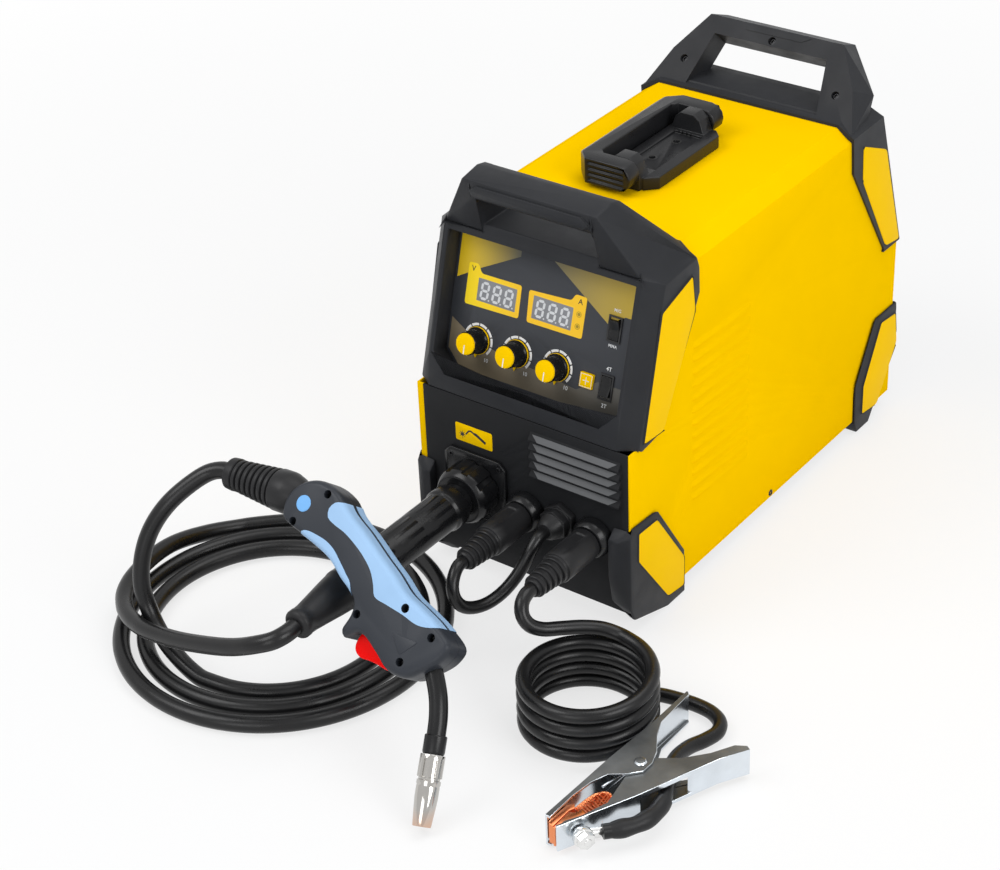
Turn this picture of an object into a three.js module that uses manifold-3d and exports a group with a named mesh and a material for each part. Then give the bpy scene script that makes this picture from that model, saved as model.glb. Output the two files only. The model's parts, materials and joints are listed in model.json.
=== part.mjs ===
// MIG welding machine: inverter power source with wire feeder, torch, earth clamp and polarity lead.
// Millimetres, +Z up, the control panel faces -Y. Everything is laid out in the machine's own place:
// x = 0 is its mid-plane, y = 0 the front panel's face, z = 0 the ground. The last lines move the whole
// object so that the origin is the bottom centre of the box round the machine, torch and clamp.
import * as THREE from 'three';
import { ConvexGeometry } from 'three/addons/geometries/ConvexGeometry.js';
import { mergeVertices } from 'three/addons/utils/BufferGeometryUtils.js';
import Module from 'manifold-3d';

const wasm = await Module();
wasm.setup();

// ---------------------------------------------------------------- driving dimensions
const GAP = 0.3;                        // clearance between pieces that touch

const BODY = { half: 102, bottom: 12.5, frontBottom: 22, toe: 14, top: 307, bevelWide: 15, bevelHigh: 10,
  sheet: 1.5, rear: 424 };
const COVER = { end: 0.5, frontStep: 22, rearStep: 14, flange: 6 };
const SHELL = { proud: 2.4, wall: 2.4, deck: 2.5 };        // moulded bezels stand proud of the cover
const FRONT = { lean: 15.9, lipY: 1.1, lipZ: 187.3, rimHalf: BODY.half - 11, cornerCut: 13.5, low: 171 };
const RECESS = { half: FRONT.rimHalf - 3.7, high: 115, depth: 18, cornerCut: 14, wall: 2 };
const REAR = { lean: 17.7, kneeZ: 169, proud: 4 };
const DOOR = { front: 99, back: BODY.rear - 97, low: 21, high: BODY.top - 15, slit: 0.6 };
const HINGE = { x: -BODY.half - 3.2, z: 15.6, pin: 1.4, bore: 1.8, barrel: 2.8, knuckle: 24, knuckles: 4 };
const TRIM_PROUD = 0.5;                 // the yellow fields moulded into the bezels and feet

const PANEL_SHEET = 1.6;
const KNOB = { cap: 9.5, base: 11.4, skirt: 3, high: 18, lift: 0.6, shaft: 3, shaftEnd: -6, v: 28.5,
  x: [-58, -20, 18.5] };
const METER = { wide: 37.5, high: 19, deep: 7, v: 69.3, x: [-46.2, 6.8] };
const ROCKER = { wide: 9.2, half: 8, crest: 1.6, root: 5.4, pivot: 4, tilt: 9, frameWide: 12.4,
  frameHalf: 10.4, rim: 1.1 };
const FRONT_ROCKERS = { x: 64.4, process: 72.4, mode: 25.6 };
const BUTTON = { side: 12, proud: 2, deep: 6, x: 46.7, v: 26 };

const EURO = { x: BODY.half - 146.5, z: 93, flange: 30, screws: 23.4, cornerCut: 6,
  flangeThick: 3.2, bore: 13, tube: 9, collar: 19,
  collarLong: 12, nut: 24.5, nutFront: 27, neck: 14.5, grip: 16.6, gripStart: 41, gripEnd: 169,
  bootEnd: 227, bootTip: 10.4 };
const DIVIDER = { x: EURO.x + 14.5, sheet: 1.5, front: 20, back: BODY.rear - 16, top: BODY.top - 11,
  frontRoom: 50, rearRoom: 18 };
const DINSE = { x: [BODY.half - 97, BODY.half - 32], z: 87, ring: 16.8, ringLong: 13, bore: 9, plug: 13.4,
  plugEnd: 54,
  tip: 8.6, sleeveEnd: 86, ribs: 5 };
const GLAND = { x: BODY.half - 64, z: 91, nut: 15, nutLong: 14, dome: 9.6, end: 24 };
const LOUVRE = { left: BODY.half - 92, right: BODY.half - 7.6, top: 162.5, pitch: 8.4, count: 5, proud: 4.4, drop: 6,
  sheet: 1.1 };
const SIDE_LOUVRE = { front: 92, back: 172, top: 222, pitch: 11.7, count: 13, high: 2.6, droop: 4 };

const TORCH_CABLE = { radius: 7, outer: 142, inner: 90, x: -141, y: -146, from: 140, to: -806, rise: 0.3 };
const EARTH_CABLE = { radius: 5.7, loop: 48.5, pitch: 12.1, x: 137, y: -110, from: 85, turns: 4, rise: 0.3 };
const POLARITY_RADIUS = 5.2;

const TORCH = { at: [EURO.x + 23.1, -175.2, EURO.z + 31.5], tilt: 50.1, half: 15.5, cavity: 10.5, edge: 3.2 };
const CLAMP = { low: 1.6, high: 29.6, sheet: 2, pivot: [211, -151], rivet: 3, slot: [235, -160] };
const LIFT = { x: 4, z: BODY.top + 15.2, round: 11.2, armFront: 133, armThick: 15.5, long: 140, bar: -41,
  barThick: 18, top: BODY.top + 27, under: BODY.top + 3.8, pin: 4 };
const SPOOL = { y: 225, z: 160, radius: 99, winding: 84, bore: 26, flange: 3, near: 10.5 - BODY.half,
  far: DIVIDER.x - 8.5 };
const DRIVE = { y: 60, radius: 15, wide: 9, shaft: 3.5, pressRadius: 12, wire: 1 };
const FAN = { z: 92, thick: 24, rim: 4, hub: 20, blades: 7, leftRoom: 12.5, rightRoom: 4.5 };

// ---------------------------------------------------------------- materials
const finish = (color, roughness, metalness = 0) => () =>
  new THREE.MeshStandardMaterial({ color, roughness, metalness });
const YELLOW = finish(0xfecb01, 0.38);
const BLACK = finish(0x2d2e30, 0.55);
const BLACK_SHEET = finish(0x1c1d1f, 0.6);
const GREY = finish(0x9a9da1, 0.5);
const RUBBER = finish(0x1e1f20, 0.7);
const SLATE = finish(0x3e424a, 0.5);
const SKY = finish(0xa8ccf0, 0.45);
const RED = finish(0xf01414, 0.4);
const COPPER = finish(0xc96a3c, 0.35, 0.9);
const STEEL = finish(0xc9ccd0, 0.3, 0.9);
const NICKEL = finish(0xd8cfc2, 0.25, 0.9);
const BOARD = finish(0x1f6b3a, 0.6);
const PRINT = finish(0x3a3c40, 0.45);

// ---------------------------------------------------------------- solids
const rad = THREE.MathUtils.degToRad;
const V = (x, y, z) => new THREE.Vector3(x, y, z);

/** A closed three.js geometry as a solid with its faces pointing out. */
function solid(geometry) {
  geometry.deleteAttribute('normal');
  geometry.deleteAttribute('uv');
  const g = mergeVertices(geometry, 1e-4);
  const points = g.attributes.position.array;
  const corner = (i) => V(points[3 * i], points[3 * i + 1], points[3 * i + 2]);
  const faces = [];
  let volume = 0;
  for (let i = 0; i < g.index.count; i += 3) {
    const [a, b, c] = [0, 1, 2].map((k) => g.index.getX(i + k));
    if (a === b || b === c || c === a) continue;
    faces.push([a, b, c]);
    volume += corner(a).dot(corner(b).cross(corner(c)));
  }
  if (volume < 0) faces.forEach((face) => face.reverse());
  return new wasm.Manifold(new wasm.Mesh({
    numProp: 3,
    vertProperties: new Float32Array(points),
    triVerts: new Uint32Array(faces.flat()),
  }));
}

const join = (...list) => list.flat().reduce((a, b) => a.add(b));
const cut = (from, ...list) => list.flat().reduce((a, b) => a.subtract(b), from);
const hull = (...points) => solid(new ConvexGeometry(points.flat().map((p) => V(...p))));
const mirrored = (points) => points.map(([x, y, z]) => [-x, y, z]);
const both = (points) => [...points, ...mirrored(points)];
const range = (count) => [...Array(count).keys()];

function box(x0, x1, y0, y1, z0, z1) {
  const g = new THREE.BoxGeometry(x1 - x0, y1 - y0, z1 - z0);
  return solid(g.translate((x0 + x1) / 2, (y0 + y1) / 2, (z0 + z1) / 2));
}

/** An outline extruded along one axis: 'x' takes (y, z) points, 'y' takes (x, z), 'z' takes (x, y). */
function prism(axis, outline, from, to) {
  const g = new THREE.ExtrudeGeometry(new THREE.Shape(outline.map(([a, b]) => new THREE.Vector2(a, b))),
    { depth: to - from, bevelEnabled: false });
  const place = {
    x: new THREE.Matrix4().set(0, 0, 1, from, 1, 0, 0, 0, 0, 1, 0, 0, 0, 0, 0, 1),
    y: new THREE.Matrix4().set(1, 0, 0, 0, 0, 0, -1, to, 0, 1, 0, 0, 0, 0, 0, 1),
    z: new THREE.Matrix4().set(1, 0, 0, 0, 0, 1, 0, 0, 0, 0, 1, from, 0, 0, 0, 1),
  };
  return solid(g.applyMatrix4(place[axis]));
}

/** An outline moved inwards by d on every side, or outwards when d is negative. */
function inset(outline, d) {
  const next = (i) => outline[(i + 1) % outline.length];
  const turn = Math.sign(outline.reduce((sum, p, i) => sum + p[0] * next(i)[1] - next(i)[0] * p[1], 0));
  const normal = (p, q) => {
    const long = Math.hypot(q[0] - p[0], q[1] - p[1]);
    return [turn * (p[1] - q[1]) / long, turn * (q[0] - p[0]) / long];
  };
  return outline.map((p, i) => {
    const [a, b] = [normal(outline.at(i - 1), p), normal(p, next(i))];
    const k = d / (1 + a[0] * b[0] + a[1] * b[1]);
    return [p[0] + k * (a[0] + b[0]), p[1] + k * (a[1] + b[1])];
  });
}

const rectangle = (x, y, wide, high) =>
  [[x - wide / 2, y - high / 2], [x + wide / 2, y - high / 2], [x + wide / 2, y + high / 2],
    [x - wide / 2, y + high / 2]];

/** A profile of [radius, distance] points turned round the line from `start` along `direction`. */
function turned(profile, start, direction, sides = 14) {
  const g = new THREE.LatheGeometry(profile.map(([r, t]) => new THREE.Vector2(r, t)), sides);
  const spin = new THREE.Quaternion().setFromUnitVectors(V(0, 1, 0), V(...direction).normalize());
  return solid(g.applyQuaternion(spin).translate(...start));
}

/** A rod between two points, tapering when `endRadius` differs. */
function rod(radius, start, end, sides = 10, endRadius = radius) {
  const axis = V(...end).sub(V(...start));
  return turned([[0, 0], [radius, 0], [endRadius, axis.length()], [0, axis.length()]], start,
    axis.toArray(), sides);
}

/** A ring between two radii along `direction`. */
const ring = (inner, outer, start, direction, long, sides = 14) =>
  turned([[inner, 0], [outer, 0], [outer, long], [inner, long], [inner, 0]], start, direction, sides);

/** A round tube along a curve. */
function tube(curve, radius, steps, sides) {
  const section = new THREE.Shape(range(sides).map((i) => {
    const a = (i / sides) * 2 * Math.PI;
    return new THREE.Vector2(radius * Math.cos(a), radius * Math.sin(a));
  }));
  return new THREE.ExtrudeGeometry(section, { steps, extrudePath: curve });
}
const through = (points) => new THREE.CatmullRomCurve3(points.map((p) => V(...p)), false, 'centripetal');

/** Loops round an upright axis; radius and height are functions of the share of the way, 0 to 1. */
class Loops extends THREE.Curve {
  constructor(centre, from, to, radiusAt, heightAt) {
    super();
    Object.assign(this, { centre, from, to, radiusAt, heightAt });
  }

  getPoint(t) {
    const a = rad(this.from + (this.to - this.from) * t);
    const r = this.radiusAt(t);
    return V(this.centre[0] + r * Math.cos(a), this.centre[1] + r * Math.sin(a), this.heightAt(t));
  }
}

const model = new THREE.Group();
const machine = new THREE.Group();
model.add(machine);
function node(name, shape, material, parent = machine) {
  let geometry = shape;
  if (!shape.isBufferGeometry) {
    const { vertProperties, triVerts } = shape.getMesh();
    geometry = new THREE.BufferGeometry();
    geometry.setAttribute('position', new THREE.BufferAttribute(new Float32Array(vertProperties), 3));
    geometry.setIndex(new THREE.BufferAttribute(new Uint32Array(triVerts), 1));
    geometry.computeVertexNormals();
  }
  const mesh = new THREE.Mesh(geometry, material());
  mesh.name = name;
  parent.add(mesh);
  return mesh;
}

// ---------------------------------------------------------------- leaning planes
const lean = { sin: Math.sin(rad(FRONT.lean)), cos: Math.cos(rad(FRONT.lean)) };
/** A point of the leaning front: x across, v up the face from the lip, d behind the face. */
const onFront = (x, v, d = 0) =>
  [x, FRONT.lipY + v * lean.sin + d * lean.cos, FRONT.lipZ + v * lean.cos - d * lean.sin];
const frontY = (z) => FRONT.lipY + (z - FRONT.lipZ) * Math.tan(rad(FRONT.lean));
const rearY = (z) => BODY.rear - Math.max(0, z - REAR.kneeZ) * Math.tan(rad(REAR.lean));

/** The panel's own place: x across, y up the face, z out of it. */
const face = new THREE.Group();
face.position.set(0, FRONT.lipY, FRONT.lipZ);
face.rotation.x = rad(90 - FRONT.lean);
machine.add(face);

// ---------------------------------------------------------------- enclosure
const SKY_HIGH = BODY.top + 40;        // well above everything that is cut
const seamFront = FRONT.low - GAP;
const seamRear = REAR.kneeZ - GAP;

/** The cover's section, bevelled at its two top corners, shrunk by d. */
function coverSection(d) {
  const [half, top] = [BODY.half - d, BODY.top - d];
  return [[-half, -10], [half, -10], [half, top - BODY.bevelHigh], [half - BODY.bevelWide, top],
    [-half + BODY.bevelWide, top], [-half, top - BODY.bevelHigh]];
}

/** The cover's side view, grown by g: upright ends below, stepped back and leaning behind the bezels. */
const coverSide = (g) => [
  [COVER.end - g, -10], [COVER.end - g, seamFront + g],
  [frontY(seamFront) + COVER.frontStep - g, seamFront + g],
  [frontY(SKY_HIGH) + COVER.frontStep - g, SKY_HIGH], [rearY(SKY_HIGH) - COVER.rearStep + g, SKY_HIGH],
  [rearY(seamRear) - COVER.rearStep + g, seamRear + g], [BODY.rear - COVER.end + g, seamRear + g],
  [BODY.rear - COVER.end + g, -10],
];
const coverSpace = (g) => prism('y', coverSection(-g), -50, BODY.rear + 50)
  .intersect(prism('x', coverSide(g), -BODY.half - 9, BODY.half + 9));
const bodyInside = prism('y', coverSection(BODY.sheet), -60, BODY.rear + 60);

function hingeKnuckles(even) {
  const pitch = (DOOR.back - DOOR.front - 8) / HINGE.knuckles;
  return range(HINGE.knuckles).filter((i) => (i % 2 === 0) === even).map((i) =>
    [DOOR.front + 4 + i * pitch + GAP, DOOR.front + 4 + (i + 1) * pitch - GAP]);
}
const hingeBarrel = (bore, [from, to]) =>
  bore ? ring(bore, HINGE.barrel, [HINGE.x, from, HINGE.z], [0, 1, 0], to - from, 12)
    : rod(HINGE.barrel, [HINGE.x, from, HINGE.z], [HINGE.x, to, HINGE.z], 12);

function mainCover() {
  const underneath = box(-BODY.half - 50, BODY.half + 50, -60, BODY.rear + 60, -20, BODY.bottom);
  const toes = box(-BODY.half - 50, BODY.half + 50, -60, BODY.toe + 2, -20, BODY.frontBottom + 6);
  let sheet = cut(coverSpace(0), bodyInside, underneath, toes);
  const { front, back, low, high } = DOOR;
  sheet = cut(sheet, box(-BODY.half - 3, -BODY.half + 5, front, back, low, high));
  for (const i of range(SIDE_LOUVRE.count)) {
    const z = SIDE_LOUVRE.top - i * SIDE_LOUVRE.pitch;
    sheet = cut(sheet, prism('x', [[SIDE_LOUVRE.front, z], [SIDE_LOUVRE.back, z - SIDE_LOUVRE.droop],
      [SIDE_LOUVRE.back, z - SIDE_LOUVRE.droop + SIDE_LOUVRE.high], [SIDE_LOUVRE.front, z + SIDE_LOUVRE.high]],
    BODY.half - 3, BODY.half + 1));
  }
  const flange = box(-BODY.half, -BODY.half + COVER.flange, COVER.end, COVER.end + BODY.sheet,
    BODY.frontBottom + 6, seamFront);
  // the door hinge's fixed knuckles, their leaf and the pin
  const knuckles = hingeKnuckles(true).map((span) => join(hingeBarrel(0, span),
    box(HINGE.x, -BODY.half + 1, span[0], span[1], HINGE.z - 1, HINGE.z + 1)));
  const pin = rod(HINGE.pin, [HINGE.x, DOOR.front + 5, HINGE.z], [HINGE.x, DOOR.back - 5, HINGE.z], 12);
  return join(sheet, flange, knuckles, pin);
}
node('main_cover', mainCover(), YELLOW);

function spoolDoor() {
  const s = DOOR.slit;
  const skin = box(-BODY.half, -BODY.half + BODY.sheet, DOOR.front + s, DOOR.back - s, DOOR.low + s,
    DOOR.high - s);
  const latchTab = box(-BODY.half - 3, -BODY.half, 205, 221, DOOR.high - 16, DOOR.high - 6);
  const knuckles = hingeKnuckles(false).map((span) => join(hingeBarrel(HINGE.bore, span),
    cut(box(HINGE.x + 0.6, -BODY.half - GAP, span[0], span[1], HINGE.z + 2, DOOR.low + 4),
      rod(HINGE.barrel - 0.5, [HINGE.x, span[0] - 1, HINGE.z], [HINGE.x, span[1] + 1, HINGE.z], 12)),
    box(-BODY.half - 1.2, -BODY.half, span[0], span[1], DOOR.low + s, DOOR.low + 4)));
  return join(skin, latchTab, knuckles);
}
node('spool_door', spoolDoor(), YELLOW);

function baseChassis() {
  const wide = BODY.half - BODY.sheet - GAP;
  const [front, back] = [BODY.toe, BODY.rear - BODY.sheet - COVER.end - 3 * GAP];
  const tray = cut(box(-wide, wide, front, back, BODY.bottom, 26),
    box(-wide + 1.5, wide - 1.5, front + 1.5, back - 1.5, BODY.bottom + 1.8, 30));
  const wall = box(DIVIDER.x, DIVIDER.x + DIVIDER.sheet, DIVIDER.front, DIVIDER.back, BODY.bottom + 1,
    DIVIDER.top);
  const neckHole = rod(11.5, [DIVIDER.x - 5, DRIVE.y, driveZ], [DIVIDER.x + 5, DRIVE.y, driveZ], 16);
  const { frontRoom, rearRoom } = DIVIDER;
  const [high, behind] = [BODY.top + 3, BODY.rear + 36];
  const slope = prism('x', [[0, 165], [frontY(165) + frontRoom, 165], [frontY(high) + frontRoom, high],
    [0, high]], DIVIDER.x - 5, DIVIDER.x + 5);
  const rearSlope = prism('x', [[rearY(170) - rearRoom, 170], [behind, 170], [behind, high],
    [rearY(high) - rearRoom, high]], DIVIDER.x - 5, DIVIDER.x + 5);
  return cut(join(tray, wall), neckHole, slope, rearSlope);
}
const driveZ = EURO.z - DRIVE.radius - DRIVE.wire / 2;
node('base_chassis', baseChassis(), GREY);

const plugHole = (radius, x, z) => rod(radius, [x, -9, z], [x, 9, z], 16);
function frontPanel() {
  const left = -BODY.half + COVER.flange + GAP;
  let sheet = box(left, BODY.half - BODY.sheet - GAP, 0, BODY.sheet, BODY.frontBottom, seamFront);
  const { left: l, right: r } = LOUVRE;
  for (const i of range(LOUVRE.count)) {
    const top = LOUVRE.top - i * LOUVRE.pitch;
    const low = top - LOUVRE.drop;
    sheet = cut(sheet, box(l + 1, r - 1, -1, 3, low + 1, top - 1));
    const slat = (from, to) => prism('x', [[0.2, top], [0.2, top - LOUVRE.sheet * 1.4],
      [-LOUVRE.proud, low - LOUVRE.sheet], [-LOUVRE.proud, low + LOUVRE.sheet * 0.4]], from, to);
    const cheek = (from, to) => prism('x', [[0.2, top], [0.2, low], [-LOUVRE.proud, low]], from, to);
    sheet = join(sheet, slat(l, r), cheek(l, l + 1.2), cheek(r - 1.2, r));
  }
  return cut(sheet, plugHole(EURO.bore + GAP, EURO.x, EURO.z), plugHole(7.8, GLAND.x, GLAND.z),
    DINSE.x.map((x) => plugHole(DINSE.bore + 2 + GAP, x, DINSE.z)));
}
node('front_panel', frontPanel(), BLACK_SHEET);

const RECESS_OUTLINE = [[-RECESS.half + RECESS.cornerCut, 0], [RECESS.half - RECESS.cornerCut, 0],
  [RECESS.half, RECESS.cornerCut], [RECESS.half, RECESS.high], [-RECESS.half, RECESS.high],
  [-RECESS.half, RECESS.cornerCut]];
const frontSlab = (corners, d0, d1) =>
  hull(corners.map(([x, v]) => onFront(x, v, d0)), corners.map(([x, v]) => onFront(x, v, d1)));

const DECK_FRONT = { z: BODY.top + GAP + SHELL.deck, back: 92 };
const [below, behind] = [(d) => BODY.top - d, (d) => BODY.rear + d];     // below the top, behind the rear
const FRONT_CHEEK = [[90.8, below(6.1)], [94.8, below(16)], [95.7, below(37.3)], [86.9, below(51.4)],
  [42.8, 171.6], [14.9, 167.8], [10.5, FRONT.low], [47, below(9)]];
const FRONT_INSERT = [[83.5, below(18)], [41.4, below(30.6)], [15.6, 174.6], [43.4, 172.4],
  [87.6, below(49.4)]];
const REAR_CHEEK = [[behind(-93), below(6)], [behind(-90), below(39)], [behind(-27), 174], [behind(-29), 168],
  [rearY(168), 168], [rearY(below(5)), below(5)]];
const REAR_INSERT = [[behind(-75.3), below(19.6)], [behind(-34.6), below(38.3)], [behind(-29.6), below(54.7)],
  [behind(-2.6), 170.3], [behind(-26.4), 173.7], [behind(-73.8), below(51.9)]];
const FRONT_FOOT_INSERT = [[34, 95], [8, 96], [7.5, 70], [50, 11], [74, 8], [74, 36]];
const REAR_FOOT_INSERT = [[behind(-27), 96.6], [behind(0), 94], [behind(5), 62], [behind(-27), 12.6],
  [behind(-55), 16], [behind(-55), 45]];
const outside = BODY.half + SHELL.proud;
const inboard = (d) => BODY.half - d;
/** The same plate on one side of the machine, from just outside the cover out to x = to. */
function sidePlate(outline, to, side) {
  const [inner, outer] = [side * (BODY.half + GAP), side * to];
  return prism('x', outline, Math.min(inner, outer), Math.max(inner, outer));
}
const cheek = (outline, side) => sidePlate(outline, outside, side);
const trimField = (outline, side) => sidePlate(outline, outside + TRIM_PROUD, side);
const SIDES = [-1, 1];

function frontBezel() {
  const deckV = (DECK_FRONT.z - FRONT.lipZ) / lean.cos;
  const outer = hull(both([
    onFront(FRONT.rimHalf - FRONT.cornerCut, -0.8), onFront(FRONT.rimHalf, FRONT.cornerCut),
    onFront(FRONT.rimHalf, deckV - 6), onFront(FRONT.rimHalf - 5, deckV),
    [FRONT.rimHalf - 1, 0, FRONT.low], [outside, 10, FRONT.low],
    [outside, DECK_FRONT.back - 0.5, below(7)], [inboard(14), DECK_FRONT.back, DECK_FRONT.z],
    ...FRONT_CHEEK.filter(([, z]) => z > FRONT.low).map(([y, z]) => [outside, y, z]),
  ]));
  const w = SHELL.wall;
  const [side, top] = [BODY.half + GAP, BODY.top + GAP];
  const inner = hull(both([
    onFront(FRONT.rimHalf - 5, 1, w), onFront(FRONT.rimHalf - 2, FRONT.cornerCut, w),
    onFront(FRONT.rimHalf - 5, deckV - 10, w), [FRONT.rimHalf - 3, w, FRONT.low + w],
    [side - 0.3, 12.5, FRONT.low + w], [side, 60, below(14)], [side, 140, below(10)], [side, 140, FRONT.low + w],
    [inboard(22), 50, top - 0.5], [side - BODY.bevelWide, 140, top],
  ]));
  const opening = frontSlab(RECESS_OUTLINE, -30, RECESS.depth + GAP);
  const tub = frontSlab(inset(RECESS_OUTLINE, -RECESS.wall), 0, RECESS.depth).intersect(outer);
  const shell = join(cut(outer, inner), tub, SIDES.map((side) => cheek(FRONT_CHEEK, side)),
    SIDES.map((side) => trimField(FRONT_INSERT, side)));
  return cut(join(shell, frontHandle()), opening, coverSpace(GAP));
}

/** The front carry handle: two posts leaning forward from the shoulders, and the bar between them. */
function frontHandle() {
  const [root, end, inner] = [inboard(11), inboard(40.5), inboard(48)];
  const rise = (points) => points.map(([x, y, up]) => [x, y, BODY.top + up]);
  const post = rise([[root, 34.3, -3.1], [end - 0.1, 19.9, 46.6], [end + 0.2, 40, 50], [end + 0.2, 50, 48],
    [outside - 0.4, 91, -7.5], [inboard(14), 92, 2.5], [inner, 34.3, -3.1], [inner, 19.9, 46.6], [inner, 40, 50],
    [inner, 50, 48], [inner, 92, 2.5]]);
  const bar = [[19.9, 46.6], [40, 50], [50, 48], [48, 32], [42, 28], [26, 28], [21.6, 34]].map(([y, up]) =>
    [inner + 2, y, up]);
  const pad = [[inner - 6, 18.9, 44], [inner + 2, 18.7, 38], [inner - 4, 20.2, 32], [inner - 4, 25, 38]];
  return join(hull(post), hull(mirrored(post)), hull(both(rise(bar))), hull(both(rise(pad))));
}
node('front_bezel', frontBezel(), BLACK);

const ARCH = { y: behind(-91.5), z: below(3.8), up: [0.661, 0.75], depth: 24, screwBore: 3.6 };
/** A point of the leaning rear arch: x across, s up its front face, d behind that face. */
const onArch = (x, s, d = 0) =>
  [x, ARCH.y + s * ARCH.up[0] + d * ARCH.up[1], ARCH.z + s * ARCH.up[1] - d * ARCH.up[0]];
const archSlab = (corners, d0 = 0, d1 = ARCH.depth, behindThem = corners) =>
  hull(corners.map(([x, s]) => onArch(x, s, d0)), behindThem.map(([x, s]) => onArch(x, s, d1)));

function rearBezel() {
  const rearAt = (x, z, out = REAR.proud) => [x, rearY(z) + out, z];
  const outer = hull(both([
    ...REAR_CHEEK.filter(([, z]) => z > 170).map(([y, z]) => [outside, y, z]),
    [outside, behind(-27), REAR.kneeZ], [outside, rearY(REAR.kneeZ), REAR.kneeZ],
    rearAt(inboard(3), REAR.kneeZ), rearAt(inboard(6), below(7)), rearAt(inboard(16), below(-2)),
    [inboard(14), behind(-91), below(-2.5)], [inboard(14), behind(-80.4), below(-3.4)],
    rearAt(inboard(16), below(-5), 1),
  ]));
  const [side, top] = [BODY.half + GAP, BODY.top + GAP];
  const inner = hull(both([
    [side, behind(-144), 150], [side, behind(-144), below(10)], [side - BODY.bevelWide, behind(-144), top],
    [side - BODY.bevelWide, behind(-72), top], rearAt(side, 150, GAP), rearAt(side, REAR.kneeZ, GAP),
    rearAt(side, below(10.5), GAP), rearAt(inboard(22), below(5), GAP),
  ]));
  const opening = box(-inboard(16), inboard(16), behind(-84), behind(76), 182, below(21));
  const outline = { foot: [inboard(0.7), 0], elbow: [inboard(14.6), 36.4], crown: [inboard(37.5), 72.7] };
  const wider = { elbow: [inboard(6.6), 43.4], crown: [inboard(39.5), 81.7] };      // the same corners at the back
  const low = [inboard(36.3), 12.6];
  const high = [inboard(47.5), 57];
  const flip = ([x, s]) => [-x, s];
  const post = ({ elbow, crown }) => [outline.foot, elbow, crown, high, low, [low[0], 0]];
  const bar = ({ crown }) => [crown, high, flip(high), flip(crown)];
  const slab = (part, turn = (corners) => corners) =>
    archSlab(turn(part(outline)), 0, ARCH.depth, turn(part(wider)));
  const across = (corners) => corners.map(flip);
  const sill = [[inboard(1), 0], [inboard(1), 3], low, flip(low), [-inboard(1), 3], [-inboard(1), 0]];
  const pad = [[34.5, 71], [26.5, 66.2], [-26.5, 66.2], [-28, 71]];
  const arch = join(slab(post), slab(post, across), slab(bar), archSlab(sill, 2, 22), archSlab(pad, -0.5, 2));
  const bores = screwPlaces.map(([x, s]) => rod(ARCH.screwBore, onArch(x, s, -3), onArch(x, s, 7), 10));
  const shell = join(cut(outer, inner), arch, SIDES.map((side) => cheek(REAR_CHEEK, side)),
    SIDES.map((side) => trimField(REAR_INSERT, side)));
  return cut(shell, opening, coverSpace(GAP), bores);
}
const screwPlaces = [[-inboard(28.2), 29.5], [inboard(28.2), 29.5], [0, 61.8]];
node('rear_bezel', rearBezel(), BLACK);

/** The fan fills its compartment between the divider and the cover, against the rear panel. */
const fanRoom = [DIVIDER.x + DIVIDER.sheet + FAN.leftRoom, BODY.half - BODY.sheet - FAN.rightRoom];
const [fanSide, fanX] = [(fanRoom[1] - fanRoom[0]) / 2, (fanRoom[1] + fanRoom[0]) / 2];
const fanBore = fanSide - FAN.rim;
const fanRear = BODY.rear - BODY.sheet - 2 * GAP;
const fanFront = fanRear - FAN.thick;
function rearPanel() {
  const [outer, wide, top] = [GAP, BODY.half - BODY.sheet - 2 * GAP, below(11)];
  const y = (z) => rearY(z) - outer;
  const sheet = prism('x', [[y(0), BODY.bottom + 2.3], [y(0), REAR.kneeZ], [y(top), top],
    [y(top) - BODY.sheet, top], [y(0) - BODY.sheet, REAR.kneeZ], [y(0) - BODY.sheet, BODY.bottom + 2.3]],
  -wide, wide);
  const through = [behind(-24), behind(16)];
  const slots = range(9).map((i) => {
    const dz = (i - 4) * (fanBore - 8) / 4;
    const half = Math.sqrt((fanBore - 2) ** 2 - dz ** 2);
    return box(fanX - half, fanX + half, ...through, FAN.z + dz - 3, FAN.z + dz + 3);
  });
  const hole = (r, x, z) => rod(r, [x, through[0], z], [x, through[1], z], 16);
  const [sx, sz] = MAINS_SWITCH;
  const frame = cut(box(sx - 9, sx + 9, y(0) - 9, y(0) + 1.2, sz - 13, sz + 13),
    box(sx - 7.2, sx + 7.2, y(0) - 7.5, y(0) + 9, sz - 11, sz + 11));
  const window = box(sx - 8, sx + 8, ...through, sz - 12, sz + 12);
  return join(cut(sheet, slots, window, hole(6.3, ...GAS_INLET), hole(8.3, ...MAINS_GLAND)), frame);
}
const MAINS_SWITCH = [-inboard(36), 130];
const GAS_INLET = [-inboard(36), 84];
const MAINS_GLAND = [-inboard(36), 46];
node('rear_panel', rearPanel(), BLACK_SHEET);

/** A corner foot that wraps the cover's side, its end and its underside. */
function foot(points, insert, side) {
  const space = box(-BODY.half - GAP, BODY.half + GAP, -GAP, BODY.rear + GAP, BODY.bottom - GAP, 200);
  return join(cut(hull(side > 0 ? points : mirrored(points)), space), trimField(insert, side));
}
const FRONT_FOOT = [
  [outside, 36, 102], [outside, 2, 104], [outside, -2.5, 97], [outside, -2.5, 28], [outside, 2.5, 16], [outside, 75, 42],
  [outside, 76, 0], [outside, 53, 0], [inboard(0.2), 1, 103.5], [inboard(14.8), 1.6, 103],
  [inboard(14.8), -8.6, 93.8], [inboard(6.8), -8.4, 93], [inboard(14.8), -8.6, 59.8], [inboard(7.5), -8.6, 60.8],
  [inboard(7.5), -4, 32.8], [inboard(14.8), -4, 32.8], [inboard(10), 20, 0], [inboard(16), 22, 0],
  [inboard(16), 76, 0], [inboard(16), 72, 12],
];
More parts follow.
